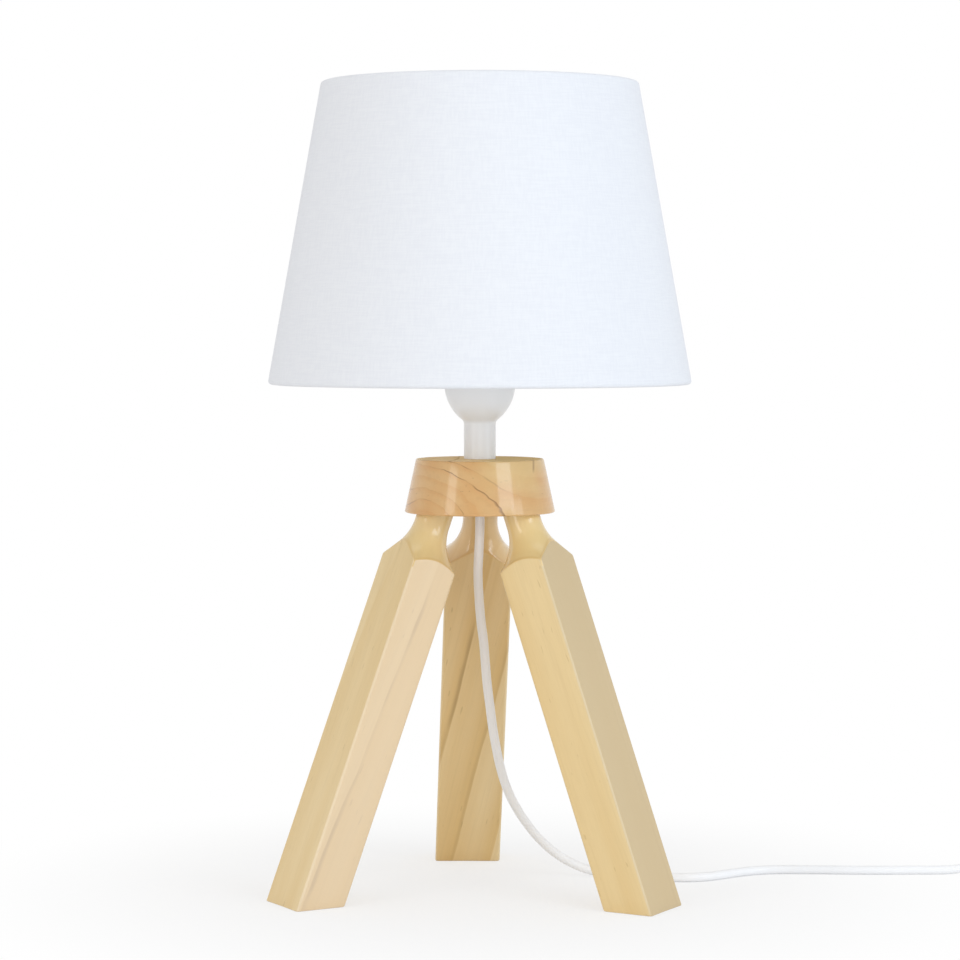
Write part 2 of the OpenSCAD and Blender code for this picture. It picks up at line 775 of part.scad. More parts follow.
module bulb_insulator() {
    color(black_glass)
        translate([0, 0, bulb_z])
            rotate_extrude()
                polygon([[0, contact_h], [contact_r + cap_sheet, contact_h],
                    [tip_rim[0] + 0.1, tip_rim[1] - 0.2], [tip_rim[0] - 0.3, tip_rim[1] + 0.2],
                    [0, tip_rim[1] + 0.2]]);
}

module bulb_contact() {
    color(steel)
        translate([0, 0, bulb_z])
            rotate_extrude()
                polygon(concat([[0, 0]],
                    arc([contact_r - contact_h, contact_h], contact_h, -90, 0), [[0, contact_h]]));
}

// ---- cord ----

// Place at a share of the way through the coil, counted in turns. It spirals in
// along the lower layer, climbs through the half turn where the spiral reverses,
// and spirals out again along the upper layer.
function coil_r(turn) = coil_inner_r + coil_pitch * abs(coil_turns - turn);
function coil_z(turn) = coil_low
    + coil_pitch * min(1, max(0, (turn - coil_turns + 0.25) / 0.5));
function coil_at(turn) = [coil_x + coil_r(turn) * sin(360 * turn),
    coil_y + coil_r(turn) * cos(360 * turn), coil_z(turn)];
coil_steps = round((2 * coil_turns + 0.25) * coil_rings);
coil_turned = [for (i = [0:coil_steps]) coil_at(i / coil_rings)];
coil_path = concat([[coil_x - coil_lead, switch_y, coil_low]], coil_turned, [end_route[0]]);

// Least distance between turns, measured on ring centres half a turn or more apart
coil_gap = min([for (i = [0:coil_steps - coil_rings / 2])
    min([for (j = [i + coil_rings / 2:coil_steps]) norm(coil_turned[i] - coil_turned[j])])])
    - cord_d;
echo("least gap of the coil to itself", coil_gap);
echo("cord from hub to plug", path_length(route) + switch_end - switch_start
    + path_length(link_route) + path_length(coil_path) + path_length(end_route));

module cord() { color(white_cord) tube(route, cord_d / 2, cord_sides, [1, 0, 0]); }
module cord_link() { color(white_cord) tube(link_route, cord_d / 2, cord_sides, [0, 0, 1]); }
module cord_end() { color(white_cord) tube(end_route, cord_d / 2, cord_sides, [1, 0, 0]); }
module cord_coil() { color(white_cord) tube(coil_path, cord_d / 2, coil_sides, [0, 0, 1]); }

// A flat tie round all the turns, on the coil's left side
module cord_tie() {
    slack = 0.4;
    low_r = coil_inner_r + coil_pitch / 4 - cord_d / 2 - slack;
    high_r = coil_outer_r - coil_pitch / 4 + cord_d / 2 + slack;
    inside = [high_r - low_r, coil_pitch + cord_d + slack / 2];
    color(white_plastic)
        translate([coil_x - (low_r + high_r) / 2, coil_y, tie_t + inside[1] / 2 + 0.1])
            rotate([90, 0, 0])
                linear_extrude(tie_w, center = true)
                    difference() {
                        round_rect(inside + [2 * tie_t, 2 * tie_t], tie_corner + tie_t);
                        round_rect(inside, tie_corner);
                    }
}

// ---- switch ----

module switch_frame() {
    translate([(switch_start + switch_end) / 2, switch_y, 0]) children();
}

// The housing's solid block, shrunk all round by an inset
module switch_block(inset) {
    intersection() {
        translate([0, 0, inset])
            linear_extrude(switch_h - 2 * inset)
                round_rect([switch_l - 2 * inset, switch_w - 2 * inset], switch_corner - inset);
        translate([0, 0, switch_h - crown_r])
            rotate([90, 0, 0])
                cylinder(r = crown_r - inset, h = switch_w + 2, center = true, $fn = 4 * $fn);
    }
}

module switch_collars(d, l) {
    for (side = [-1, 1])
        translate([side * (switch_l / 2 - switch_wall - cut), 0, entry_z])
            rotate([0, side * 90, 0]) cylinder(d = d, h = l, $fn = small_fn);
}

// The hollow housing with its two collars, before it is parted
module switch_housing() {
    collar_l = switch_wall + cut + switch_collar_l;
    difference() {
        union() {
            difference() {
                switch_block(0);
                switch_block(switch_wall);
            }
            switch_collars(collar_d, collar_l);
        }
        switch_collars(bush_hole_d, collar_l + cut);
    }
}

module half_space(above) {
    translate([-switch_l, -switch_w, above ? switch_seam : switch_seam - 4 * switch_h])
        cube([2 * switch_l, 2 * switch_w, 4 * switch_h]);
}

module switch_base() {
    color(white_plastic)
        switch_frame()
            difference() {
                union() {
                    intersection() {
                        switch_housing();
                        half_space(false);
                    }
                    for (place = post_places)
                        translate([place[0], place[1], switch_wall - 0.5])
                            cylinder(d = post_d, h = switch_seam - switch_wall, $fn = small_fn);
                }
                for (place = post_places)
                    translate([place[0], place[1], -cut]) {
                        cylinder(d = screw_hole_d, h = switch_h, $fn = small_fn);
                        cylinder(d = screw_head_d + 0.4, h = screw_recess + cut, $fn = small_fn);
                    }
                switch_collars(bush_hole_d, 2 * switch_collar_l);
            }
}

module switch_cover() {
    color(white_plastic)
        switch_frame()
            difference() {
                union() {
                    intersection() {
                        switch_housing();
                        half_space(true);
                    }
                    for (place = post_places)
                        translate([place[0], place[1], switch_seam])
                            cylinder(d = post_d, h = switch_h - crown - switch_seam, $fn = small_fn);
                    for (side = [-1, 1])
                        translate([0, side * (window[1] / 2 + rib_t / 2),
                            (switch_seam + switch_h) / 2])
                            cube([rib_l, rib_t, switch_h - switch_seam - 1], center = true);
                }
                translate([0, 0, switch_h]) cube([window[0], window[1], switch_h], center = true);
                translate([0, 0, pivot_z])
                    rotate([90, 0, 0])
                        cylinder(d = pivot_d + 2 * running_gap, h = 2 * pivot_reach + 0.4,
                            center = true, $fn = small_fn);
                for (place = post_places)
                    translate([place[0], place[1], switch_seam - cut])
                        cylinder(d = screw_hole_d, h = screw_bite + cut, $fn = small_fn);
                switch_collars(bush_hole_d, 2 * switch_collar_l);
            }
}

// The rocker rests with its right end pressed and turns about its two pivots
module switch_rocker() {
    color(white_plastic)
        switch_frame()
            translate([0, 0, pivot_z])
                rotate([0, rocker_swing / 2, 0]) {
                    rotate([90, 0, 0])
                        linear_extrude(rocker_w, center = true)
                            polygon([[-rocker_half_l, rocker_top[1]], [0, rocker_top[0]],
                                [rocker_half_l, rocker_top[1]],
                                [rocker_half_l - 0.4, rocker_low[1]], [rocker_heel, rocker_low[0]],
                                [-rocker_heel, rocker_low[0]],
                                [0.4 - rocker_half_l, rocker_low[1]]]);
                    rotate([90, 0, 0])
                        cylinder(d = pivot_d, h = 2 * pivot_reach, center = true, $fn = small_fn);
                }
}

module switch_screws() {
    color(steel)
        switch_frame()
            for (place = post_places)
                translate([place[0], place[1], screw_inset]) {
                    cylinder(d = screw_head_d, h = screw_recess - screw_inset, $fn = small_fn);
                    cylinder(d = screw_d, h = switch_seam + screw_bite / 2, $fn = small_fn);
                }
}

// Two brass strips that the rocker bridges, each with a tongue for its core
module switch_contacts() {
    color(brass)
        switch_frame()
            for (side = [0, 1])
                mirror([side, 0, 0])
                    translate([contact_x[0], -contact_strip_w / 2, switch_wall]) {
                        cube([contact_x[1] - contact_x[0], contact_strip_w, contact_t]);
                        translate([contact_x[1] - contact_x[0] - contact_t, 0, 0])
                            cube([contact_t, tongue_w,
                                entry_z + switch_core_d / 2 - switch_wall]);
                    }
}

// One core runs through, the other is cut and meets the two tongues
module switch_cores() {
    reach = switch_l / 2 + switch_collar_l;
    color(white_cord)
        switch_frame() {
            wire([-reach, core_y, entry_z], [reach, core_y, entry_z], switch_core_d);
            for (side = [-1, 1])
                wire([side * contact_x[1], -core_y, entry_z], [side * reach, -core_y, entry_z],
                    switch_core_d);
        }
}

// ---- plug ----

// Placed with its pins towards the front, flat on the floor
module plug_frame() {
    translate([plug_x, plug_y, entry_z]) rotate([0, 0, -90]) children();
}

// Tapered strain relief and a flat body: its plan, side and face outlines crossed
module plug_body() {
    half_w = plug_w / 2;
    half_h = plug_h / 2;
    face_x = relief_l + body_l;
    full = [for (swell = body_swell) relief_l + swell];
    bend_y = half_w - body_bend_r;
    corner = [face_x - body_corner, half_w - body_corner];
    flat = [half_w - body_bevel[0], half_h - body_bevel[1]];
    color(white_plastic)
        plug_frame()
            difference() {
                union() {
                    rotate([0, 90, 0])
                        cylinder(r1 = relief_r[0], r2 = relief_r[1], h = relief_l + relief_sunk,
                            $fn = small_fn);
                    intersection() {
                        linear_extrude(plug_h, center = true)
                            polygon(concat(
                                [[relief_l, body_entry[0] / 2], [relief_l, -body_entry[0] / 2]],
                                arc([full[0], -bend_y], body_bend_r, -120, -90),
                                arc([corner[0], -corner[1]], body_corner, -90, 0),
                                arc(corner, body_corner, 0, 90),
                                arc([full[0], bend_y], body_bend_r, 90, 120)));
                        rotate([90, 0, 0])
                            linear_extrude(plug_w, center = true)
                                polygon([[relief_l, -body_entry[1] / 2], [full[1], -half_h],
                                    [face_x, -half_h], [face_x, half_h],
                                    [full[1], half_h], [relief_l, body_entry[1] / 2]]);
                        translate([relief_l, 0, 0])
                            rotate([90, 0, 90])
                                linear_extrude(body_l)
                                    polygon([[-half_w, -flat[1]], [-flat[0], -half_h],
                                        [flat[0], -half_h], [half_w, -flat[1]],
                                        [half_w, flat[1]], [flat[0], half_h],
                                        [-flat[0], half_h], [-half_w, flat[1]]]);
                    }
                }
                for (side = [-1, 1])
                    translate([face_x - pin_root - pin_hole_spare, side * pin_spacing / 2, 0])
                        rotate([0, 90, 0])
                            cylinder(d = pin_root_d + 2 * glue_gap, h = pin_root + cut,
                                $fn = small_fn);
            }
}

module plug_pins() {
    pin_r = pin_d / 2;
    waist_r = pin_waist_d / 2;
    root_r = pin_root_d / 2;
    whole = pin_root + pin_l;
    color(steel)
        plug_frame()
            for (side = [-1, 1])
                translate([relief_l + body_l - pin_root, side * pin_spacing / 2, 0])
                    rotate([0, 90, 0])
                        rotate_extrude($fn = small_fn)
                            polygon(concat([[0, 0], [root_r, 0], [root_r, pin_root],
                                [waist_r, pin_root], [waist_r, pin_root + sleeve_l],
                                [pin_r, pin_root + sleeve_l]],
                                arc([pin_r - pin_tip_r, whole - pin_tip_r], pin_tip_r, 0, 90),
                                [[0, whole]]));
}

module plug_sleeves() {
    color(white_plastic)
        plug_frame()
            for (side = [-1, 1])
                translate([relief_l + body_l, side * pin_spacing / 2, 0])
                    rotate([0, 90, 0])
                        rotate_extrude($fn = small_fn)
                            ring_2d(sleeve_d / 2, pin_waist_d / 2 + glue_gap, sleeve_l);
}

hub();
leg_back();
leg_left();
leg_right();
threaded_rod();
rod_washer();
rod_nut();
rod_bush();
holder_cup();
entry_nipple();
lock_screw();
holder_insert();
terminal_blocks();
terminal_screws();
centre_contact();
screw_shell();
holder_shell();
lamp_lead();
shade_ring();
shade_cover();
shade_top_wire();
shade_carrier();
bulb_glass();
bulb_filaments();
bulb_cap();
bulb_insulator();
bulb_contact();
cord();
switch_base();
switch_cover();
switch_rocker();
switch_screws();
switch_contacts();
switch_cores();
cord_link();
cord_coil();
cord_tie();
cord_end();
plug_body();
plug_pins();
plug_sleeves();
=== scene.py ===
# %% [markdown]
# # A tripod table lamp
# This lamp has three splayed pine legs, a turned hub, a white lampholder with a dome-shaped
# cup, and a tapered cloth shade. A white cord hangs from under the hub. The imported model
# brings every part at its real size and place. What follows dresses those parts: it turns,
# rolls and weaves finer pieces over them, finishes each surface, and lights the whole.

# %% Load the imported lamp
import json
import math
import bmesh
import bpy
import numpy as np
from mathutils import Euler, Matrix, Vector


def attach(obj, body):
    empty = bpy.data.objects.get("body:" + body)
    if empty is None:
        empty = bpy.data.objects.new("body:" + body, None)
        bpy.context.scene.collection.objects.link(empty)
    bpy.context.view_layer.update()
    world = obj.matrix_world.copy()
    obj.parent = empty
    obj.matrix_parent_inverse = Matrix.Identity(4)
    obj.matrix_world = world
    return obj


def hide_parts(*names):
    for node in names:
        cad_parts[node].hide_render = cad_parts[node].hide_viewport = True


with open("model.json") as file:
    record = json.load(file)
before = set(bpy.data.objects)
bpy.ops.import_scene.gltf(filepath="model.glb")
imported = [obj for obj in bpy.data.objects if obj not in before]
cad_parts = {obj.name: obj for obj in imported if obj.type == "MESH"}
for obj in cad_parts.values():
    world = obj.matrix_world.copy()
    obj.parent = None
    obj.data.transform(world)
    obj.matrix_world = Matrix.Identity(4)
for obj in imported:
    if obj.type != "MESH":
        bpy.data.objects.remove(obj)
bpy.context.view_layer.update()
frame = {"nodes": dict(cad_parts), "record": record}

# %% [markdown]
# ## The camera
# A camera matched to the photograph stands 1.68 m in front of the lamp, level with the lower
# part of the shade, and looks three degrees down. From so far away the lamp shows hardly any
# perspective. The lens comes from the focal length in pixels, for a frame 960 pixels wide.

# %% Stand the camera
SENSOR_MM = 36.0
FRAME_PX = 960
FOCAL_PX = 3088.17
DOWN_TILT = 0.05225

scene = bpy.context.scene
camera_data = bpy.data.cameras.new("photo_camera")
camera_data.sensor_width = SENSOR_MM
camera_data.lens = SENSOR_MM * FOCAL_PX / FRAME_PX
camera = bpy.data.objects.new("photo_camera", camera_data)
camera.location = (0.00008, -1.67714, 0.31212)
camera.rotation_euler = (math.pi / 2 - DOWN_TILT, 0.0, 0.0)
scene.collection.objects.link(camera)
scene.camera = camera
print("lens", round(camera_data.lens, 2), "mm")

# %% [markdown]
# ## The cord
# A round cord, 5 mm thick, leaves the bush under the hub, falls between the legs, lands
# behind the right leg and runs off to the right. Past the picture's edge come the switch, a
# coil held by a tie, and the plug. A cord could be a swept mesh, but a curve with a round
# bevel keeps its true centreline, so its length and bends can be measured. Its points are
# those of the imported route. Inside the switch the sheath stops and one core goes on.

# %% Lay the cord's route
CORD_D = 5.0
CORE_SHARE = 0.28
COIL_CENTRE = (392.0, 7.5)
COIL_INNER_R = 21.0
COIL_PITCH = 5.5
COIL_LOW_Z = 3.5
LAYER_TURNS = 3
CLIMB_TURNS = 0.5
LAST_TURN = 0.25
KNOTS_PER_TURN = 24

fall = [(0, 0, 208), (0, 0, 198), (-0.5, 0, 186), (-1, 0.5, 174), (-0.5, 1, 161),
        (0.5, 2, 148), (2, 3, 136), (3, 4.5, 124), (4, 6, 112), (5.5, 8, 100),
        (7, 10.5, 88), (9, 13.5, 76), (11.5, 17, 64), (15, 21, 52.5), (20, 25, 41.5),
        (26.5, 29, 31), (34, 33, 21.5), (42.5, 36.5, 13.5), (52, 38.5, 7.5), (62.5, 38.5, 3.5)]
run_off = [(74, 35.5, 2.5), (86, 30, 2.5), (98, 25, 2.5), (110, 22, 2.5), (122, 23, 2.5),
           (133, 29, 2.5), (143.5, 37, 2.5), (154.5, 43.5, 2.5), (167, 46.5, 2.5),
           (180, 46.5, 2.5), (193, 46, 2.5), (206, 45, 2.5), (219, 44.5, 2.5),
           (232, 44.5, 2.5), (244, 45, 2.5), (256, 45, 2.5), (267, 45, 3), (278, 45, 5),
           (288, 45, 7), (296, 45, 7), (300, 45, 7)]
core = [(302, 45.4, 7), (306, 46.1, 7), (327, 46.1, 7), (348, 46.1, 7), (352, 45.4, 7)]
to_coil = [(354, 45, 7), (358, 45, 7), (364, 45, 7), (372, 45, 5.5), (380, 45, 3.5),
           (387, 45, 3.5)]
coil_out = Vector((430.875, 2.5, 9))
swing_from = Vector((430.875, -7.5, 9))
swing_to = Vector((420, -43, 7))
plug_entry = Vector((420, -46, 7))
SWING_STEPS = 6


def swing(share):
    """A point of the last run, which goes over to the plug along half a cosine wave."""
    over = (1 - math.cos(math.pi * share)) / 2
    way = swing_to - swing_from
    return swing_from + Vector((way.x * over, way.y * share, way.z * over))


swings = [swing(step / SWING_STEPS) for step in range(SWING_STEPS + 1)]
to_plug = [tuple(knot) for knot in [coil_out] + swings + [plug_entry]]


def coil_knot(turn):
    """The cord's centre in the coil: the low layer winds inwards and the high one outwards."""
    radius = COIL_INNER_R + COIL_PITCH * abs(LAYER_TURNS - turn)
    climb = min(1.0, max(0.0, (turn - LAYER_TURNS + CLIMB_TURNS / 2) / CLIMB_TURNS))
    angle = 2 * math.pi * turn
    return (COIL_CENTRE[0] + radius * math.sin(angle), COIL_CENTRE[1] + radius * math.cos(angle),
            COIL_LOW_Z + COIL_PITCH * climb)


coil_knots = round((2 * LAYER_TURNS + LAST_TURN) * KNOTS_PER_TURN)
coil = [coil_knot(knot / KNOTS_PER_TURN) for knot in range(coil_knots + 1)]
cord_knots = fall + run_off + core + to_coil + coil + to_plug
thin = set(core)
print(len(cord_knots), "knots along the cord")

# %% Draw the cord
MM = 0.001

cord_data = bpy.data.curves.new("cord_sheath", "CURVE")
cord_data.dimensions = "3D"
cord_line = cord_data.splines.new("BEZIER")
cord_line.bezier_points.add(len(cord_knots) - 1)
for bezier, knot in zip(cord_line.bezier_points, cord_knots):
    bezier.co = Vector(knot) * MM
    bezier.handle_left_type = bezier.handle_right_type = "AUTO"
    bezier.radius = CORE_SHARE if knot in thin else 1.0
cord_data.resolution_u = 5
cord_data.bevel_depth = CORD_D * MM / 2
cord_data.bevel_resolution = 4
cord_data.use_fill_caps = True
cord = bpy.data.objects.new("cord_sheath", cord_data)
scene.collection.objects.link(cord)
cord_length = sum((Vector(b) - Vector(a)).length for a, b in zip(cord_knots, cord_knots[1:])) * MM
print("the cord is about", round(cord_length, 3), "m long")

# %% [markdown]
# ## Nodes written as sums
# A finish is a sum of patterns, and it reads best when it is written as one. The class
# below wraps a node's socket, so that plus, minus, times and the rest add Math nodes, and
# one method adds any other node. The same class serves the Geometry Nodes further down.

# %% A class for node maths
def feed(node, sockets):
    """Gives a node's sockets their values or links."""
    for key, value in sockets.items():
        if isinstance(value, Value):
            value.tree.links.new(value.socket, node.inputs[key])
        else:
            node.inputs[key].default_value = value


def put(tree, kind, settings=None, sockets=None):
    """Adds a node and sets it up before it is fed."""
    made = tree.nodes.new(kind)
    for name, value in (settings or {}).items():
        setattr(made, name, value)
    feed(made, sockets or {})
    return made


class Value:
    """A node's output that Python's arithmetic works on."""

    def __init__(self, tree, socket):
        self.tree = tree
        self.socket = socket

    def node(self, kind, settings=None, sockets=None, output=0):
        return Value(self.tree, put(self.tree, kind, settings, sockets).outputs[output])

    def math(self, operation, *numbers):
        return self.node("ShaderNodeMath", {"operation": operation}, dict(enumerate(numbers)))

    def parts(self):
        split = put(self.tree, "ShaderNodeSeparateXYZ", None, {0: self})
        return [Value(self.tree, socket) for socket in split.outputs]


OPERATORS = {"add": "ADD", "sub": "SUBTRACT", "mul": "MULTIPLY", "truediv": "DIVIDE",
             "pow": "POWER"}
for operator, operation in OPERATORS.items():
    setattr(Value, "__%s__" % operator,
            lambda this, other, operation=operation: this.math(operation, this, other))
    setattr(Value, "__r%s__" % operator,
            lambda this, other, operation=operation: this.math(operation, other, this))
print("Value knows", sorted(OPERATORS))

# %% Helpers that every finish uses
def paint(code):
    """A colour written as on screen, such as E9ECF2, as the linear colour nodes want."""
    shares = [int(code[place:place + 2], 16) / 255 for place in (0, 2, 4)]
    return tuple(s / 12.92 if s <= 0.04045 else ((s + 0.055) / 1.055) ** 2.4
                 for s in shares) + (1.0,)


def new_finish(name):
    """A new material with its shader and the Object coordinates it is painted by."""
    material = bpy.data.materials.new(name)
    material.use_nodes = True
    tree = material.node_tree
    shader = tree.nodes["Principled BSDF"]
    return material, shader, Value(tree, put(tree, "ShaderNodeTexCoord").outputs["Object"])


def stretch(place, across, along):
    """Squeezes or stretches coordinates, so that a pattern runs along Z."""
    return place.node("ShaderNodeVectorMath", {"operation": "MULTIPLY"},
                      {0: place, 1: (across, across, along)})


def noise(place, scale, detail=2.0, rough=0.5):
    return place.node("ShaderNodeTexNoise", None,
                      {"Vector": place, "Scale": scale, "Detail": detail, "Roughness": rough})


def blend(share, first, second):
    return share.node("ShaderNodeMix", {"data_type": "RGBA"}, {0: share, 6: first, 7: second},
                      output=2)


def ease(value, low, high):
    """Nought below low, one above high, and a smooth step between them."""
    return value.node("ShaderNodeMapRange", {"interpolation_type": "SMOOTHSTEP"},
                      {0: value, 1: low, 2: high})


def bump(height, depth, strength=1.0):
    return height.node("ShaderNodeBump", None,
                       {"Height": height, "Distance": depth, "Strength": strength})


print("shade white is", [round(c, 3) for c in paint("E9ECF2")])

# %% [markdown]
# ## Pine
# Pine shows its yearly rings wherever a cut meets them. A picture of wood can't follow a
# turned neck into a flat face, so the log itself is described: distance from its heart,
# divided by the width of a year, gives the rings in three dimensions. Noise stretched along
# the log makes them wander, and each year gets its own darkness. Fine fibres, small dark
# dashes and broad bands of tone come on top, and a thin coat of lacquer over all.

# %% The pine finish
LINE_PEAK = 0.95
LINE_FALL = 0.955


def within(place, own):
    """Coordinates in a frame of its own, given as a matrix in millimetres."""
    return place.node("ShaderNodeMapping", {"vector_type": "TEXTURE"},
                      {"Vector": place, "Location": tuple(own.translation * MM),
                       "Rotation": tuple(own.to_euler())})


def grain(log, year, tones, wander, summer_share, line_from, broken, lines, fade):
    """Tone of pine whose rings lie round a log's Z; also gives the fibre.

    The tones are the pale wood, the warm wood and the dark line that ends a year. Only the
    years listed in lines have such a line, each with its own strength, and where fade is
    nought there is none.
    """
    pale, warm, line = [paint(tone) for tone in tones]
    x, y = log.parts()[:2]
    sway = noise(stretch(log, 1.0, 0.22), 24.0, 2.0) - 0.5
    tremble = noise(stretch(log, 1.0, 0.16), 150.0, 2.0) - 0.5
    reach = (x * x + y * y) ** 0.5 + sway * wander + tremble * (wander * 0.4)
    years = reach / year
    part = years.math("FRACT", years)
    count = years.math("FLOOR", years)
    shown = sum((count.math("COMPARE", count, float(ring), 0.5) * share
                 for ring, share in lines.items()), count * 0.0) * fade
    summer = ease(part, 0.35, 0.93) * (1.0 - ease(part, LINE_PEAK, 1.0))
    fall = 1.0 - ease(part, LINE_FALL, LINE_FALL + (LINE_PEAK - line_from) * 0.4)
    edge = ease(part, line_from, LINE_PEAK) * fall
    gaps = 1.0 - (1.0 - ease(noise(stretch(log, 1.0, 0.3), 75.0, 1.0), 0.40, 0.62)) * broken
    band = noise(stretch(log, 1.0, 0.06), 55.0, 1.0)
    fibre = noise(stretch(log, 1.0, 0.012), 2600.0, 3.0, 0.6)
    streak = noise(stretch(log, 1.0, 0.03), 420.0, 2.0, 0.6)
    dash = ease(noise(stretch(log, 1.0, 0.16), 620.0, 1.0), 0.72, 0.78)
    tone = blend(ease(band, 0.35, 0.7) * 0.6, pale, warm)
    tone = blend(summer * summer_share, tone, warm)
    tone = blend(edge * gaps * shown, tone, line)
    tone = blend(dash * 0.28, tone, line)
    tone = blend(ease(streak, 0.45, 0.75) * 0.07, tone, line)
    tone = blend(ease(fibre, 0.3, 0.7) * 0.05, tone, line)
    return tone, fibre


def lacquer(shader, tone, fibre, gloss, shine=0.35):
    feed(shader, {"Base Color": tone, "Roughness": 0.38 + fibre * 0.16,
                  "Normal": bump(fibre, 0.00003),
                  "Coat Weight": gloss, "Coat Roughness": 0.10, "Coat IOR": 1.5,
                  "Specular IOR Level": shine})


LEG_SPLAY = 20.2
FOOT_R = 102.5
HUB_Z = 207.0
NECK_PLACE_R = FOOT_R - HUB_Z * math.tan(math.radians(LEG_SPLAY))
leg_leans = {"leg_back": (90, -1.0, 5.8), "leg_left": (210, -5.5, -5.5),
             "leg_right": (330, -2.5, -2.5)}


def leg_frame(leg):
    """A leg's own frame, in millimetres: its axis is Z, and X points away from the lamp."""
    third, neck_drift, drift = leg_leans[leg]
    return (Matrix.Rotation(math.radians(third + neck_drift), 4, "Z")
            @ Matrix.Translation((NECK_PLACE_R, 0.0, HUB_Z))
            @ Matrix.Rotation(math.radians(drift - neck_drift), 4, "Z")
            @ Matrix.Rotation(math.radians(-LEG_SPLAY), 4, "Y")
            @ Matrix.Rotation(math.radians(-drift), 4, "Z"))


print("a neck crosses the hub's underside", round(NECK_PLACE_R, 2), "mm from the axis")

# %% Wood for the legs
HALF_W = 37.0 / 2
HALF_T = 27.0 / 2
LINES_FADE = 0.025


def leg_pine(leg, heart, lean, tones, side, face_light_tint, lathe_tone, lines_top, **ring_sizes):
    """A leg's wood: its log's heart and lean are given in the leg's own frame."""
    material, shader, place = new_finish(leg + "_pine")
    own = leg_frame(leg)
    log = (own @ Matrix.Translation(heart)
           @ Euler([math.radians(angle) for angle in lean]).to_matrix().to_4x4())
    x, y, z = within(place, own).parts()
    tone, fibre = grain(within(place, log), tones=tones,
                        fade=1.0 - ease(z, lines_top - LINES_FADE, lines_top), **ring_sizes)
    across, along = x.math("ABSOLUTE", x), y.math("ABSOLUTE", y)

    def near_face(low_t, low_w, high):
        """How near a point is to the bar's faces, by depths under them in millimetres."""
        return x.math("MAXIMUM", ease(across, (HALF_T - low_t) * MM, (HALF_T - high) * MM),
                      ease(along, (HALF_W - low_w) * MM, (HALF_W - high) * MM))

    # One face of each leg is tinted lighter or darker: painted light and shade, as the light falls
    # on that face.
    painted_face_light = {"x": ease(x, (HALF_T - 1.7) * MM, (HALF_T - 0.2) * MM),
               "y": ease(y, (HALF_W - 1.8) * MM, (HALF_W - 0.3) * MM)}[side]
    lathe = (1.0 - near_face(0.3, 0.3, 0.1)) * ease(z, -0.0335, -0.032)
    arch = near_face(1.6, 2.0, 0.3)
    # A pale line along the bar's round edges, away from the turning, is a painted highlight.
    corner = (HALF_T + HALF_W) * MM
    arris_highlight = ease(across + along, corner - 0.0012, corner - 0.0009) * (1.0 - lathe)
    tone = blend(painted_face_light * (1.0 - lathe) * face_light_tint[1], tone, paint(face_light_tint[0]))
    tone = blend(lathe * 0.6, tone, paint(lathe_tone))
    tone = blend(lathe * arch * 0.35, tone, paint("D0A45A"))
    tone = blend(arris_highlight * 0.22, tone, paint("F3E6C8"))
    lacquer(shader, tone, fibre, lathe * 0.55 + 0.30)
    return material


finishes = {
    "leg_left": leg_pine("leg_left", (-42.5, 24, -50), (0, -3.6, 0),
                         ("E8CF9D", "DFC187", "A58A62"), "y", ("EAD3B8", 0.55), "EACF92",
                         -0.034, year=0.022, wander=0.0105, summer_share=0.6,
                         line_from=0.84, broken=0.7, lines={1: 0.6}),
    "leg_right": leg_pine("leg_right", (48, -62, -120), (2.0, -1.5, 0),
                          ("EBD19C", "E2C286", "B08E58"), "x", ("CBB48B", 0.85), "EBD090",
                          -0.034, year=0.027, wander=0.009, summer_share=0.45,
                          line_from=0.88, broken=0.9, lines={1: 0.35, 2: 0.3, 3: 0.35}),
    "leg_back": leg_pine("leg_back", (20, 76, -81), (10.5, 0, 0),
                         ("EBD2A2", "D9B574", "9A7C50"), "x", ("D9B574", 0.2), "E8C890",
                         -0.052, year=0.0197, wander=0.0055, summer_share=0.7,
                         line_from=0.84, broken=0.6, lines={3: 0.55, 4: 0.22}),
}
print("woods:", sorted(finishes))

# %% Wood for the hub
HUB_TOP = 236.0
HEART_X = -0.030
HEART_Z = 200
HUB_YEAR = 0.00575
HUB_LINES = {2: 0.6, 3: 0.8, 5: 0.85, 6: 0.8}
CHECK_X = 0.0288


def hub_pine(name, tones, gloss, shine):
    """The hub's wood: its log lies level, and its rings grow wider than they are high."""
    material, shader, place = new_finish(name)
    x, y, z = place.parts()
    away = x - HEART_X
    bent = place.node("ShaderNodeCombineXYZ", None, {0: away * (1.15 - away * 9.0), 1: y, 2: z})
    log = Matrix.Translation((0, 0, HEART_Z)) @ Matrix.Rotation(math.radians(-88), 4, "X")
    fade = 1.0 - ease(x + z - HUB_Z * MM, 0.021, 0.031)
    tone, fibre = grain(within(bent, log), HUB_YEAR, tones, wander=0.0055, summer_share=0.4,
                        line_from=0.84, broken=0.9, lines=HUB_LINES, fade=fade)
    # A lighter, yellower tone covers the hub's right side, growing towards the top and broken up by
    # noise.
    yellow_right_top = ease(x, -0.006, 0.012) * ease(noise(place, 38.0, 2.0) + z * 14.0 - 3.1, 0.35, 0.65)
    check = 1.0 - ease(x.math("ABSOLUTE", x - CHECK_X), 0.0002, 0.0008)
    check = check * ease(z, 0.2285, 0.2320) * (1.0 - ease(y, -0.01, 0.0))
    tone = blend(yellow_right_top * 0.6, tone, paint("DDC084"))
    tone = blend(check * 0.5, tone, paint(tones[2]))
    lacquer(shader, tone, fibre, gloss, shine)
    return material


finishes["hub"] = hub_pine("hub_pine", ("DAB076", "D29A58", "8E6636"), 0.7, 0.35)
# The top face's pine is a paler copy without gloss: painted light, making up for the shade that the
# shade and cup cast on it.
finishes["hub_top"] = hub_pine("hub_top_lit_pine", ("FBE0B2", "F4D2A0", "D8B584"), 0.0, 0.0)
print("the hub's rings lie round a heart", HEART_X, "m from the lamp's axis")

# %% [markdown]
# ## Mouldings, metals, glass
# A white moulding is never quite even: its gloss drifts, and a fine grain from the mould
# catches light. Plated metals have a fine grain too, and the same function makes all of
# them. The light sticks and the clear glass of the bulb have trees of their own.

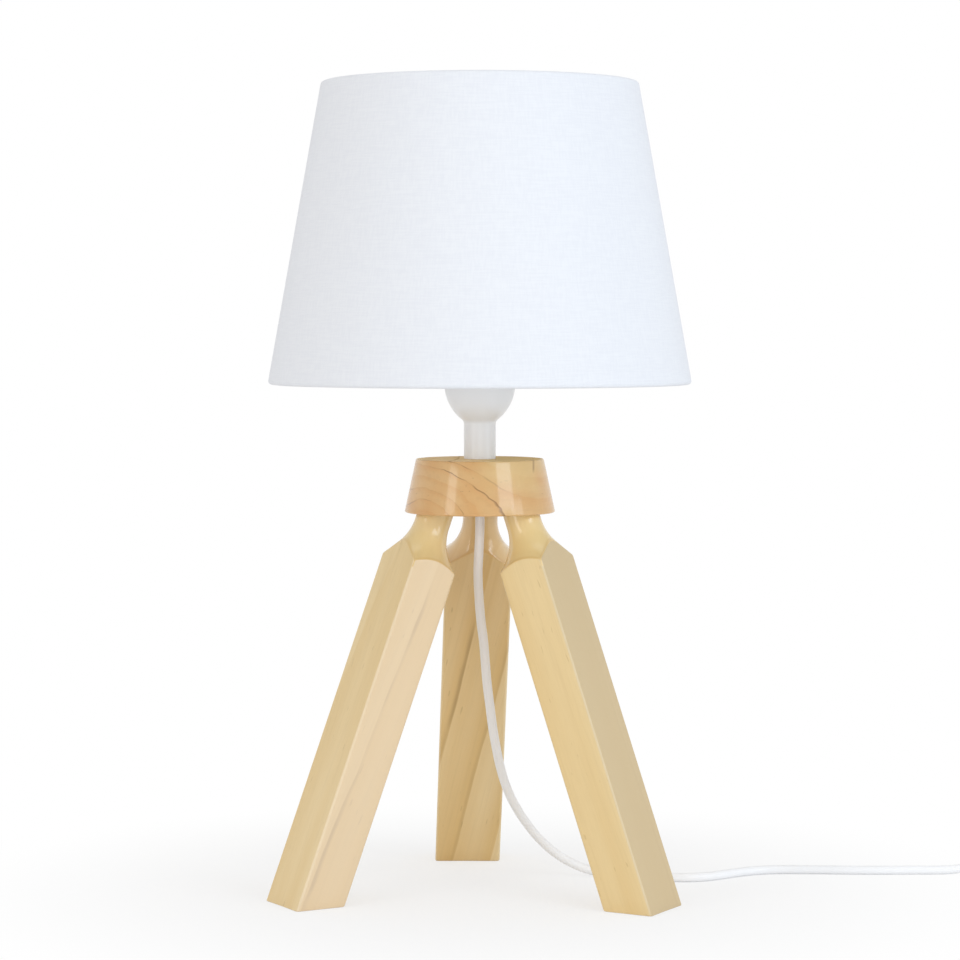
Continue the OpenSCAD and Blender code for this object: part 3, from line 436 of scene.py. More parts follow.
# %% Moulded and plated finishes
def solid_finish(name, code, rough, grain_scale, depth, metal, drift, coat):
    """One colour with slight drifts in tone and gloss and a fine grain."""
    material, shader, place = new_finish(name)
    colour = paint(code)
    cloud = noise(place, 40.0, 3.0)
    fine = noise(place, grain_scale, 2.0, 0.6)
    shadow = tuple(share * (1 - drift) for share in colour[:3]) + (1.0,)
    feed(shader, {"Base Color": blend(cloud, colour, shadow),
                  "Roughness": rough + cloud * 0.08 + fine * 0.05,
                  "Normal": bump(fine, depth), "Metallic": metal, "Coat Weight": coat,
                  "Coat Roughness": 0.12})
    return material


solid_looks = {  # colour, roughness, grain's scale and depth, metal, drift of tone, coat
    "white_moulding": ("F3F4F6", 0.30, 900.0, 0.000006, 0.0, 0.03, 0.3),
    "switch_plastic": ("E2E2E2", 0.42, 2200.0, 0.00002, 0.0, 0.06, 0.0),
    "holder_core": ("E6E4DE", 0.55, 1500.0, 0.00001, 0.0, 0.06, 0.0),
    "white_wire": ("E4E4E4", 0.38, 700.0, 0.00003, 0.0, 0.06, 0.0),
    "zinc_steel": ("C9CBCF", 0.28, 1200.0, 0.00001, 1.0, 0.15, 0.0),
    "brass_parts": ("D2B06A", 0.30, 1200.0, 0.00001, 1.0, 0.2, 0.0),
    "bulb_metal": ("D4D5D8", 0.20, 1500.0, 0.000006, 1.0, 0.1, 0.0),
    "pin_metal": ("DADBDC", 0.18, 1600.0, 0.000005, 1.0, 0.08, 0.0),
    "black_glass": ("1A1A1C", 0.12, 900.0, 0.000005, 0.0, 0.06, 0.6),
    "cord_sheath": ("F9F9FA", 0.44, 1800.0, 0.00001, 0.0, 0.02, 0.1),
    "shade_liner": ("F0F0F0", 0.45, 260.0, 0.00001, 0.0, 0.06, 0.0),
}
for name, look in solid_looks.items():
    finishes[name] = solid_finish(name, *look)

light_stick, stick_shader, stick_place = new_finish("light_stick")
dots = ease(noise(stick_place, 3000.0, 1.0), 0.4, 0.7)
feed(stick_shader, {"Base Color": blend(dots, paint("F0CF62"), paint("DDB244")),
                    "Roughness": 0.5 + dots * 0.1, "Normal": bump(dots, 0.00002)})
finishes["bulb_light"] = light_stick

clear_glass, glass_shader, glass_place = new_finish("clear_glass")
breath = noise(glass_place, 60.0, 2.0)
feed(glass_shader, {"Base Color": paint("FAFBFB"), "Roughness": breath * 0.03,
                    "Transmission Weight": 1.0, "IOR": 1.45})
finishes["bulb_glass"] = clear_glass
print(len(finishes), "finishes so far")

# %% [markdown]
# ## Shade cloth
# The shade is a fine plain weave glued to a thin white sheet. On a cone the threads run
# round and up, so the weave is drawn in an angle and a height worked out from Object
# coordinates. A whole number of threads goes round, which leaves no seam in the pattern.
# Slubs, which are thicker bits of thread, vary the tone a little.

# %% The cloth
THREADS_ROUND = 1900
THREAD_PITCH = 0.00038

cloth, cloth_shader, cloth_place = new_finish("shade_cloth")
east, north, height = cloth_place.parts()
angle = north.math("ARCTAN2", north, east)
warp = angle.math("SINE", angle * float(THREADS_ROUND))
weft = height.math("SINE", height * (math.pi / THREAD_PITCH))
slub_up = noise(stretch(cloth_place, 1.0, 0.03), 900.0, 2.0)
slub_round = noise(stretch(cloth_place, 0.06, 1.0), 1400.0, 2.0)
slubs = slub_up * 0.5 + slub_round * 0.5
feed(cloth_shader, {"Base Color": blend(ease(slubs, 0.35, 0.65), paint("EAECF0"), paint("E6E8ED")),
                    "Roughness": 0.78 + slubs * 0.15,
                    "Normal": bump(warp * weft * 0.5 + slubs, 0.00003, 0.6),
                    "Sheen Weight": 0.15, "Specular IOR Level": 0.25})
finishes["shade_cloth"] = cloth
print("threads round the shade:", THREADS_ROUND)

# %% [markdown]
# ## Making meshes
# Turned and moulded pieces are all revolves. A helper rounds the corners of a section, a
# second turns it about the lamp's axis, and a third makes the finished piece: doubles
# merged, faces outward, smooth but for real edges, and riding on its body.

# %% Mesh helpers
def finish_mesh(mesh, sharp=32.0):
    """Merges doubles, turns faces outward and smooths all but true edges."""
    work = bmesh.new()
    work.from_mesh(mesh)
    bmesh.ops.remove_doubles(work, verts=work.verts, dist=0.000002)
    bmesh.ops.recalc_face_normals(work, faces=work.faces)
    work.to_mesh(mesh)
    work.free()
    mesh.shade_smooth()
    mesh.set_sharp_from_angle(angle=math.radians(sharp))


def settle(piece, body, nodes):
    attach(piece, body)
    if nodes:
        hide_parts(*nodes)
    return piece


def new_object(name, data):
    made = bpy.data.objects.new(name, data)
    scene.collection.objects.link(made)
    return made


def new_mesh(name, shape, sharp=32.0):
    """A mesh from a shape, which is points in millimetres and faces."""
    points, faces = shape
    mesh = bpy.data.meshes.new(name)
    mesh.from_pydata([tuple(MM * c for c in point) for point in points], [], faces)
    finish_mesh(mesh, sharp)
    return mesh


def new_piece(name, shape, finish, body, nodes=(), sharp=32.0):
    """A piece from a shape, with its finish and riding on its body."""
    mesh = new_mesh(name, shape, sharp)
    mesh.materials.append(finishes[finish])
    print(name, len(mesh.polygons), "faces")
    return settle(new_object(name, mesh), body, nodes)


def rounded(corners, steps=6):
    """A closed section from corners (radius, height, rounding)."""
    section = []
    for place, (r, z, ease_r) in enumerate(corners):
        here = Vector((r, z))
        before = (Vector(corners[place - 1][:2]) - here).normalized()
        after = (Vector(corners[(place + 1) % len(corners)][:2]) - here).normalized()
        if ease_r == 0:
            section.append((r, z))
            continue
        half = before.angle(after) / 2
        middle = here + (before + after).normalized() * (ease_r / math.sin(half))
        first = here + before * (ease_r / math.tan(half)) - middle
        last = here + after * (ease_r / math.tan(half)) - middle
        for step in range(steps + 1):
            spoke = first.slerp(last, step / steps)
            section.append(tuple(middle + spoke.normalized() * ease_r))
    return section


def grid(spans, rings, sides):
    """Faces that join each ring of points to the next, for so many spans."""
    return [(r * sides + k, (r + 1) % rings * sides + k, (r + 1) % rings * sides + (k + 1) % sides,
             r * sides + (k + 1) % sides) for r in range(spans) for k in range(sides)]


def tube(rings, sides):
    """Faces that join rings of points into a tube and close both of its ends."""
    ends = [tuple(range(sides)), tuple(range((rings - 1) * sides, rings * sides))]
    return grid(rings - 1, rings, sides) + ends


def turned(section, steps=160, thread=None):
    """The shape of a closed section (radius, height) turned about Z."""
    section = np.array(section, float)
    angles = (np.arange(steps) * 2 * math.pi / steps)[:, None]
    radius, height = [np.repeat(section[None, :, part], steps, axis=0) for part in (0, 1)]
    if thread:
        radius = radius + thread(angles, radius, height)
    points = np.stack([radius * np.cos(angles), radius * np.sin(angles), height], axis=2)
    return points.reshape(-1, 3), grid(steps, steps, len(section))


print("mesh helpers ready")

# %% [markdown]
# ## The legs
# Each leg is a square bar whose top was turned in a lathe: a tenon and neck, a cove, then a
# conical shoulder that meets the bar's flat faces in arches. The shape is one rule: at each
# height the outline is the smaller of the bar's and the turning's radius. A bar cut by a
# boolean gives hard, ragged arches, so the rule is laid on a grid of points instead, with a
# soft minimum that eases the arches as sandpaper does. The foot is sawn level with the floor.

# %% The leg's rule
LEG_EDGE = 1.5
NECK_R = 9.6
NECK_L = 6.0
COVE_R = 26.0
TENON_TOP = 18.0
SHOULDER = math.radians(50)
ARCH_EASE = 0.9
FOOT_EASE = 0.8
CORNERS = [(1, 1), (-1, 1), (-1, -1), (1, -1)]
EDGE_POINTS = 9
FACE_POINTS = (44, 60)


def turning_radius(z):
    """Radius that the lathe left at a height along the leg's axis."""
    cove_end = -(NECK_L + COVE_R * math.sin(SHOULDER))
    if z > TENON_TOP - 1:
        return NECK_R - (z - TENON_TOP + 1)
    if z > -NECK_L:
        return NECK_R
    if z > cove_end:
        return NECK_R + COVE_R - math.sqrt(COVE_R ** 2 - (z + NECK_L) ** 2)
    return NECK_R + COVE_R * (1 - math.cos(SHOULDER)) + (cove_end - z) * math.tan(SHOULDER)


def on_edge(corner, quarters):
    """A point on the round edge at one corner of the bar, in a direction in quarter turns."""
    side_x, side_y = CORNERS[corner % 4]
    angle = quarters * math.pi / 2
    return np.array([side_x * (HALF_T - LEG_EDGE) + LEG_EDGE * math.cos(angle),
                     side_y * (HALF_W - LEG_EDGE) + LEG_EDGE * math.sin(angle)])


def bar_outline():
    """Points round the bar's section, closer together at its four round edges."""
    points = []
    for corner in range(4):
        points += [on_edge(corner, turn) for turn in np.linspace(corner, corner + 1, EDGE_POINTS)]
        last, after = on_edge(corner, corner + 1), on_edge(corner + 1, corner + 1)
        shares = np.linspace(0, 1, FACE_POINTS[corner % 2])[1:-1]
        points += [last + (after - last) * share for share in shares]
    return np.array(points)


bar = bar_outline()
bar_r = np.hypot(bar[:, 0], bar[:, 1])
print(len(bar), "points round a leg")

# %% Turn and saw the legs
ARCH_LOW = -32
ARCH_HIGH = -17
BAR_RINGS = 25


def leg_shape(leg):
    """A leg's grid: rings from the sawn foot up to the tenon's top."""
    lean = math.radians(LEG_SPLAY)
    drift = math.radians(leg_leans[leg][2])

    def sawn(outline):
        """The height along the leg's axis at which the floor cuts each point."""
        outward = outline[:, 0] * math.cos(drift) + outline[:, 1] * math.sin(drift)
        return -(HUB_Z + outward * math.sin(lean)) / math.cos(lean)

    rings = []
    for inset, lift in [(FOOT_EASE, 0.0), (FOOT_EASE * 0.29, FOOT_EASE * 0.29), (0.0, FOOT_EASE)]:
        shrunk = bar * (1 - inset / bar_r)[:, None]
        rings.append(np.column_stack([shrunk, sawn(shrunk) + lift]))
    foot = sawn(bar) + FOOT_EASE
    for share in np.linspace(0, 1, BAR_RINGS + 1)[1:]:
        rings.append(np.column_stack([bar, foot + (ARCH_LOW - foot) * share]))
    heights = np.concatenate([np.arange(ARCH_LOW + 0.3, ARCH_HIGH, 0.3),
                              np.arange(ARCH_HIGH, -NECK_L, 0.7),
                              np.linspace(-NECK_L, TENON_TOP - 1, 8), [TENON_TOP]])
    for z in heights:
        lathe = turning_radius(z)
        near = np.maximum(ARCH_EASE - np.abs(bar_r - lathe), 0) / ARCH_EASE
        radius = np.minimum(bar_r, lathe) - near ** 2 * ARCH_EASE / 4
        rings.append(np.column_stack([bar * (radius / bar_r)[:, None], np.full(len(bar), z)]))
    own = leg_frame(leg)
    points = [tuple(own @ Vector(point)) for point in np.concatenate(rings)]
    return points, tube(len(rings), len(bar))


for leg in leg_leans:
    new_piece(leg + "_bar", leg_shape(leg), leg, "root", [leg], 40.0)

# %% [markdown]
# ## The hub
# The hub is turned from one block, wider below than above, with both rims eased. Below it
# has a recess for a nut, and three slanting sockets take the legs' tenons. The section is
# turned about the axis and the sockets are bored with a boolean, as a drill would.

# %% Turn the hub and bore its sockets
SOCKET_R = 9.65
SOCKET_DEPTH = 18.5
RIM_EASE = 0.8

hub_section = rounded([(5.2, 216, 0.3), (5.2, HUB_TOP, 0.4), (34.75, HUB_TOP, RIM_EASE),
                       (41.0, HUB_Z, RIM_EASE), (11.0, HUB_Z, 0.4), (11.0, 216, 0)])
hub = new_piece("hub_turned", turned(hub_section, 192), "hub", "root", ["hub"])


def drill(leg):
    """A tool in the shape of one socket."""
    tool_mesh = bpy.data.meshes.new("drill_" + leg)
    work = bmesh.new()
    length = SOCKET_DEPTH + 20
    place = leg_frame(leg) @ Matrix.Translation((0, 0, SOCKET_DEPTH - length / 2))
    bmesh.ops.create_cone(work, cap_ends=True, segments=96, radius1=SOCKET_R, radius2=SOCKET_R,
                          depth=length, matrix=Matrix.Scale(MM, 4) @ place)
    work.to_mesh(tool_mesh)
    work.free()
    return new_object("drill_" + leg, tool_mesh)


def carve(piece, tools):
    """Cuts the tools out of the piece and deletes them."""
    for tool in tools:
        cutter = piece.modifiers.new("socket", "BOOLEAN")
        cutter.operation = "DIFFERENCE"
        cutter.solver = "EXACT"
        cutter.object = tool
    graph = bpy.context.evaluated_depsgraph_get()
    carved = bpy.data.meshes.new_from_object(piece.evaluated_get(graph), depsgraph=graph)
    piece.modifiers.clear()
    piece.data = carved
    finish_mesh(carved)
    for tool in tools:
        bpy.data.objects.remove(tool)


carve(hub, [drill(leg) for leg in leg_leans])
# Faces that look up take the paler copy: painted light on the hub's shaded top.
hub.data.materials.append(finishes["hub_top"])
for face in hub.data.polygons:
    face.material_index = 1 if face.normal.z > 0.95 else 0
print("hub after boring:", len(hub.data.polygons), "faces")

# %% [markdown]
# ## The lampholder
# The stem and cup are one moulding: a straight stem, a small fillet, and a bowl that ends in
# a sharp rim. On it sits the threaded outer shell. Both are turned from their sections. A
# thread is a wave in the radius that climbs one pitch a turn.

# %% Stem, cup and threaded shell
def arc(centre, radius, start, end, steps):
    return [(centre[0] + radius * math.cos(math.radians(a)),
             centre[1] + radius * math.sin(math.radians(a)))
            for a in np.linspace(start, end, steps + 1)]


BOWL_CENTRE = (-5.7, 277.0)
cup_section = ([(5.05, HUB_TOP), (8.45, HUB_TOP), (8.65, HUB_TOP + 0.2)]
               + arc((11.65, 255.02), 3.0, 180, 128.3, 8)
               + arc(BOWL_CENTRE, 25.0, -51.7, -0.6, 28)
               + [(19.2, 277.0), (17.4, 277.0), (17.4, 284.0), (15.8, 284.0), (15.8, 275.0),
                  (14.3, 275.0), (14.3, 273.0)]
               + arc(BOWL_CENTRE, 23.2, -9.9, -47.1, 14) + [(5.05, 260.0)])
new_piece("stem_and_cup", turned(cup_section), "white_moulding", "root", ["holder_cup"])


def screw_thread(low, high, r_low, pitch, depth):
    """A wave that climbs one pitch a turn, outside a radius and between two heights."""
    def wave(angle, radius, height):
        fade = np.clip((height - low) / pitch, 0, 1) * np.clip((high - height) / pitch, 0, 1)
        crest = 0.5 - 0.5 * np.cos(2 * math.pi * (height / pitch - angle / (2 * math.pi)))
        return -depth * crest * fade * (radius > r_low)
    return wave


threaded = [(19.5, z) for z in np.arange(283.5, 304, 0.25)]
shell_section = ([(17.5, 277), (19.2, 277), (19.3, 277.1), (19.3, 280), (22, 281.2),
                  (22.8, 281.5), (23, 281.7), (23, 282.8), (22.8, 283), (19.5, 283)] + threaded
                 + [(19.5, 304), (18.8, 306), (18.3, 317), (18.0, 317.6), (17.5, 318),
                    (15.1, 318), (14.4, 317.7), (14.1, 317), (14.1, 285), (17.5, 285)])
new_piece("threaded_shell", turned(shell_section, 120, screw_thread(283.5, 304, 19, 2.5, 0.55)),
          "white_moulding", "root", ["holder_shell"], sharp=50.0)

# %% [markdown]
# ## Pieces grown by Geometry Nodes
# Grips, arms and light sticks repeat round an axis, and the shade follows a rule. Geometry
# Nodes say such things directly. Each tree has named inputs; a modifier's inputs are set by
# their identifiers, and the result is turned into a plain mesh, so nothing stays live.

# %% Helpers for Geometry Nodes
SOCKET_KINDS = {int: "NodeSocketInt", float: "NodeSocketFloat",
                bpy.types.Material: "NodeSocketMaterial", bpy.types.Object: "NodeSocketObject"}


def new_tree(name, sizes):
    """A Geometry Nodes tree with a named input for each size; gives it and its inputs."""
    tree = bpy.data.node_groups.new(name, "GeometryNodeTree")
    for label, value in sizes.items():
        tree.interface.new_socket(name=label, in_out="INPUT",
                                  socket_type=SOCKET_KINDS[type(value)])
    tree.interface.new_socket(name="Geometry", in_out="OUTPUT",
                              socket_type="NodeSocketGeometry")
    given = tree.nodes.new("NodeGroupInput")
    return tree, {label: Value(tree, given.outputs[label]) for label in sizes}


def close_tree(tree, geometry):
    put(tree, "NodeGroupOutput", None, {"Geometry": geometry})


def grow(name, tree, sizes, body, nodes=(), sharp=32.0):
    """Runs a tree with its sizes and keeps the result as a plain piece."""
    piece = new_object(name, bpy.data.meshes.new(name + "_seed"))
    modifier = piece.modifiers.new(name, "NODES")
    modifier.node_group = tree
    for item in tree.interface.items_tree:
        if item.item_type == "SOCKET" and item.in_out == "INPUT":
            modifier[item.identifier] = sizes[item.name]
    graph = bpy.context.evaluated_depsgraph_get()
    mesh = bpy.data.meshes.new_from_object(piece.evaluated_get(graph), depsgraph=graph)
    piece.modifiers.clear()
    piece.data = mesh
    finish_mesh(mesh, sharp)
    print(name, len(mesh.polygons), "faces")
    return settle(piece, body, nodes)


print("sockets known:", sorted(SOCKET_KINDS.values()))

# %% [markdown]
# ## The shade
# The shade is a sheet rolled into a cone, with its cloth turned over a wire at each rim and
# glued down inside, and an upright lap at the back where the sheet's ends meet. A revolve
# in Python would do for the wall, but as a tree of bands swept round circles the whole shade
# follows from a few sizes. Inward faces take the liner's finish, the rest the cloth's.

# %% Roll the shade
shade_sizes = {"Rim Radius": 0.115, "Top Radius": 0.08575, "Height": 0.163, "Stand": 0.2765,
               "Wall": 0.001, "Hem Radius": 0.00195, "Hem Width": 0.009, "Lap Angle": 0.095,
               "Sides": 192, "Cloth": finishes["shade_cloth"],
               "Liner": finishes["shade_liner"]}
BEAD_SIDES = 24
LAP_STEPS = 24
TURN_IN_T = 0.00035
TURN_IN_SUNK = 0.00005
LAP_T = 0.00045
LAP_PROUD = 0.0003
shade_tree, given = new_tree("rolled_shade", shade_sizes)
rim, stand, wall = given["Rim Radius"], given["Stand"], given["Wall"]
slope = (rim - given["Top Radius"]) / given["Height"]


def circle(radius, sides):
    return stand.node("GeometryNodeCurvePrimitiveCircle", None,
                      {"Resolution": sides, "Radius": radius})


def swept(path, profile, caps=False):
    return stand.node("GeometryNodeCurveToMesh", None,
                      {"Curve": path, "Profile Curve": profile, "Fill Caps": caps})


def band(low, high, proud, thickness, lap=False):
    """A ring of sheet between two heights of the cone, some way proud of its outside."""
    low_r = rim - low * slope + proud
    fall_in = (low - high) * slope
    corners = [(0.0, low), (0.0 - thickness, low), (fall_in - thickness, high), (fall_in, high)]
    points = {"Point %d" % count: stand.node("ShaderNodeCombineXYZ", None,
                                             {0: x, 1: (stand + z) * -1.0})
              for count, (x, z) in enumerate(corners, 1)}
    if lap:
        path = stand.node("GeometryNodeCurveArc", {"mode": "RADIUS"},
                          {"Resolution": LAP_STEPS, "Radius": low_r,
                           "Start Angle": math.pi / 2 - given["Lap Angle"] / 2,
                           "Sweep Angle": given["Lap Angle"]})
    else:
        path = circle(low_r, given["Sides"])
    profile = stand.node("GeometryNodeCurvePrimitiveQuadrilateral", {"mode": "POINTS"}, points)
    return swept(path, profile, lap)


def hem(height):
    """The round fold over a wire, flush with the outside of the cone."""
    bead_r = given["Hem Radius"]
    path = circle(rim - height * slope - bead_r * (slope * slope + 1.0) ** 0.5, given["Sides"])
    lift = stand.node("ShaderNodeCombineXYZ", None, {2: stand + height})
    return stand.node("GeometryNodeTransform", None, {
        "Geometry": swept(path, circle(bead_r, BEAD_SIDES)), "Translation": lift})


def joined(*pieces):
    join = put(shade_tree, "GeometryNodeJoinGeometry")
    for geometry in pieces:
        shade_tree.links.new(geometry.socket, join.inputs[0])
    return Value(shade_tree, join.outputs[0])


low_hem = given["Hem Radius"]
high_hem = given["Height"] - low_hem
walls = joined(band(low_hem, high_hem, 0.0, wall),
               band(low_hem, low_hem + given["Hem Width"], TURN_IN_SUNK - wall, TURN_IN_T),
               band(high_hem - given["Hem Width"], high_hem, TURN_IN_SUNK - wall, TURN_IN_T),
               band(low_hem * 1.6, high_hem - low_hem * 0.6, LAP_PROUD, LAP_T, lap=True))
outward = stretch(stand.node("GeometryNodeInputPosition"), 1.0, 0.0)
facing = stand.node("ShaderNodeVectorMath", {"operation": "DOT_PRODUCT"},
                    {0: stand.node("GeometryNodeInputNormal"), 1: outward}, output="Value")
inward = facing.math("LESS_THAN", facing, -0.01)
print("bands and hems drawn")

# %% Close the tree and grow the shade
def dress(geometry, finish, faces):
    return geometry.node("GeometryNodeSetMaterial", None,
                         {"Geometry": geometry, "Selection": faces, "Material": finish})


cloth_walls = dress(walls, given["Cloth"], True)
cloth_hems = dress(joined(hem(low_hem), hem(high_hem)), given["Cloth"], True)
shade_whole = joined(dress(cloth_walls, given["Liner"], inward), cloth_hems)
close_tree(shade_tree, stand.node("GeometryNodeRealizeInstances", None,
                                  {"Geometry": shade_whole}))
grow("shade_rolled", shade_tree, shade_sizes, "shade", ["shade_cover"], 60.0)

# %% [markdown]
# ## Things set round the axis
# The shade ring's grips, the carrier's arms and the bulb's light sticks are each one small
# piece set several times round the lamp's axis. One tree does all three: it puts points at
# the origin, one for each copy, and turns each copy by its share of a full turn.

# %% A tree that sets copies round the axis
def set_round(name, shape, count, turn, finish, body, nodes=()):
    """Makes a pattern from a shape, copies it round Z, then deletes the pattern."""
    pattern = new_object(name + "_pattern", new_mesh(name + "_pattern", shape))
    sizes = {"Pattern": pattern, "Count": count, "Turn": turn, "Finish": finishes[finish]}
    tree, given = new_tree(name, sizes)
    count_in = given["Count"]
    index = count_in.node("GeometryNodeInputIndex")
    turned_by = count_in.node("ShaderNodeCombineXYZ", None,
                              {2: index / count_in * (2 * math.pi) + given["Turn"]})
    copies = count_in.node("GeometryNodeInstanceOnPoints", None, {
        "Points": count_in.node("GeometryNodePoints", None, {"Count": count_in}),
        "Instance": count_in.node("GeometryNodeObjectInfo", None,
                                  {"Object": given["Pattern"]}, output="Geometry"),
        "Rotation": turned_by})
    real = count_in.node("GeometryNodeRealizeInstances", None, {"Geometry": copies})
    close_tree(tree, count_in.node("GeometryNodeSetMaterial", None,
                                   {"Geometry": real, "Material": given["Finish"]}))
    grow(name, tree, sizes, body, nodes)
    bpy.data.objects.remove(pattern)


def rod_along(path, radius, sides):
    """The shape of a round rod through points, closed at its ends."""
    path = [Vector(point) for point in path]
    points = []
    side = None
    for place, here in enumerate(path):
        ahead = (path[min(place + 1, len(path) - 1)] - path[max(place - 1, 0)]).normalized()
        if side is None:
            side = ahead.orthogonal().normalized()
        side = (side - ahead * side.dot(ahead)).normalized()
        other = ahead.cross(side)
        for k in range(sides):
            a = 2 * math.pi * k / sides
            points.append(here + (side * math.cos(a) + other * math.sin(a)) * radius)
    return points, tube(len(path), sides)


print("patterns can be set round the axis")

# %% Shade ring with its grips
ring_section = rounded([(19.85, 284.7, 0.3), (28.0, 284.7, 0.5), (28.0, 286.6, 0.6),
                        (23.9, 287.2, 0.4), (22.5, 292.2, 0.6), (19.85, 292.2, 0.3)])
new_piece("shade_ring_body", turned(ring_section, 144), "white_moulding", "ring", ["shade_ring"])
grip_path = [(23.3, 0, 286.4), (23.4, 0, 287), (23.2, 0, 290.4), (22.9, 0, 291.4)]
set_round("shade_ring_grips", rod_along(grip_path, 0.95, 12), 18, 0.0, "white_moulding", "ring")

# %% Carrier under the ring
WIRE_R = 1.25
ARM_R = 1.1
CARRIER_ARMS = 3

plate_section = rounded([(20.3, 283.1, 0.3), (26.0, 283.1, 0.5), (26.0, 284.5, 0.5),
                         (20.3, 284.5, 0.3)])
new_piece("carrier_plate", turned(plate_section, 128), "white_wire", "shade")
rim_r, top_r, tall, shade_z = [shade_sizes[size] / MM for size in
                               ("Rim Radius", "Top Radius", "Height", "Stand")]
hem_r = shade_sizes["Hem Radius"] / MM
flare = (rim_r - top_r) / tall
low_wire = (rim_r - hem_r * flare - hem_r * math.hypot(1, flare), shade_z + hem_r)
arm_path = [(24.4, 0, 283.3), (27.0, 0, 283.2), (low_wire[0], 0, low_wire[1])]
set_round("carrier_arms", rod_along(arm_path, ARM_R, 16), CARRIER_ARMS, math.pi / 2,
          "white_wire", "shade", ["shade_carrier"])
new_piece("low_hem_wire", turned(arc(low_wire, WIRE_R, 0, 337.5, 15)), "white_wire", "shade")

# %% [markdown]
# ## The bulb
# A clear bulb with four yellow light sticks stands on the lamp's axis. The glass swells from
# its neck to a belly and closes in a small tip; it is thin, so it is modelled with an inside.
# The screw cap's thread is rolled: a soft wave of 3.6 mm pitch.

# %% Glass and cap
GLASS_FOOT = 312.5
GLASS_Z = 318.5
GLASS_H = 73.0
GLASS_R = 18.5
GLASS_NECK_R = 12.5
BELLY = 0.34
GLASS_WALL = 0.8
GLASS_TIP = 130.0


def glass_radius(share):
    """Radius of the glass at a share of its height, with a small round tip."""
    if share < BELLY:
        return GLASS_NECK_R + (GLASS_R - GLASS_NECK_R) * math.sin(math.pi / 2 * share / BELLY)
    rise = (share - BELLY) / (1 - BELLY)
    return math.sqrt((GLASS_R * (1 - rise ** 2.2)) ** 2 + GLASS_TIP * (1 - rise) * rise ** 16)


shares = list(np.linspace(0, 0.86, 40)) + [1 - 0.14 * (1 - s) ** 2 for s in np.linspace(0, 1, 18)]
outside = [(glass_radius(s), GLASS_Z + s * GLASS_H) for s in shares]
inside = [(max(glass_radius(s) - GLASS_WALL, 0.0), GLASS_Z + s * (GLASS_H - 2 * GLASS_WALL))
          for s in reversed(shares)]
glass_section = [(GLASS_NECK_R, GLASS_FOOT)] + outside + inside + [
    (GLASS_NECK_R - GLASS_WALL, GLASS_FOOT)]
new_piece("bulb_envelope", turned(glass_section, 128), "bulb_glass", "bulb", ["bulb_glass"])

cap_wall = [(13.0, z) for z in np.arange(298.0, 316.6, 0.3)]
cap_section = ([(10.2, 295.5), (10.6, 295.1), (12.7, 296.8), (13.0, 297.4)] + cap_wall
               + [(13.0, 317.3), (12.8, 317.7), (12.6, 317.9), (12.6, 297.9), (10.2, 295.8)])
new_piece("bulb_cap_rolled", turned(cap_section, 120, screw_thread(298.0, 316.6, 12.9, 3.63, 0.35)),
          "bulb_metal", "bulb", ["bulb_cap"], sharp=50.0)

# %% The light sticks, their stem and their leads
STICKS = 4
STICK_PLACE = 5.5
FIRST_TURN = math.pi / 4

stem_section = rounded([(0, 314.5, 0), (11.6, 314.5, 0.3), (11.6, 316.0, 0.5), (4, 321.5, 2.0),
                        (2.5, 332.5, 0.8), (0, 332.5, 0)])
new_piece("bulb_stem", turned(stem_section, 64), "bulb_glass", "bulb")
stick_path = [(STICK_PLACE, 0, z) for z in (333.3, 334, 348, 361.6, 362.5)]
set_round("bulb_sticks", rod_along(stick_path, 0.8, 12), STICKS, FIRST_TURN, "bulb_light",
          "bulb", ["bulb_filaments"])
for label, ends in {"low": [(0.6, 0, 331.5), (STICK_PLACE, 0, 333.5)],
                    "high": [(STICK_PLACE, 0, 362.3), (0.3, 0, 364.5)]}.items():
    set_round("bulb_leads_" + label, rod_along(ends, 0.4, 8), STICKS, FIRST_TURN,
              "bulb_metal", "bulb")

# %% [markdown]
# ## Small parts kept as they came
# Nuts, contacts, the switch and the plug have their true shapes already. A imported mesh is
# loose triangles, so a copy of each is merged and smoothed by angle, and takes its finish.
# Parts that are shut away inside keep their own mesh and only get their material.

# %% Copy and smooth the small parts
slots = {row["node"]: row["material_slot"] for row in frame["record"]["subparts"]}
body_of = {node: body for body, nodes in frame["record"]["behaviour"]["bodies"].items()
           for node in nodes}


def smooth_copy(node, sharp):
    """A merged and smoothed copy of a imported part, which it replaces."""
    mesh = frame["nodes"][node].data.copy()
    mesh.materials.clear()
    finish_mesh(mesh, sharp)
    mesh.materials.append(finishes[slots[node]])
    return settle(new_object(node + "_smooth", mesh), body_of[node], [node])


on_cord = ["switch_base", "switch_cover", "switch_rocker", "switch_screws", "switch_contacts",
           "switch_cores", "cord_tie", "plug_body", "plug_pins", "plug_sleeves"]
shown_small = (["rod_washer", "rod_nut", "rod_bush", "threaded_rod", "bulb_insulator",
                "bulb_contact"] + on_cord + ["screw_shell", "holder_insert"])
FLAT_FACED = {"switch_rocker": 8.0, "plug_body": 20.0}
small = {node: smooth_copy(node, FLAT_FACED.get(node, 30.0)) for node in shown_small}
print(len(small), "small parts copied")

# %% Finish the parts that stay packed
for node, part in frame["nodes"].items():
    if slots[node] in finishes:
        part.data.materials.clear()
        part.data.materials.append(finishes[slots[node]])

cord_data.materials.append(finishes["cord_sheath"])
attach(cord, "root")
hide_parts("cord", "cord_link", "cord_coil", "cord_end")
print("cord declared with", len(on_cord), "pieces on it")

# %% [markdown]
# ## Floor, lights and world
# The lamp stands on a white floor under soft, even light. Lights left and right of the
# camera draw the upright highlights on the lacquered hub; the left one is a little warmer
# and the right ones cooler. A wide one behind the camera reaches in between the legs, and one
# hangs overhead. To the camera the floor is white, but near the feet it lets the soft shadow
# show. The sky around gives the rest of the light.

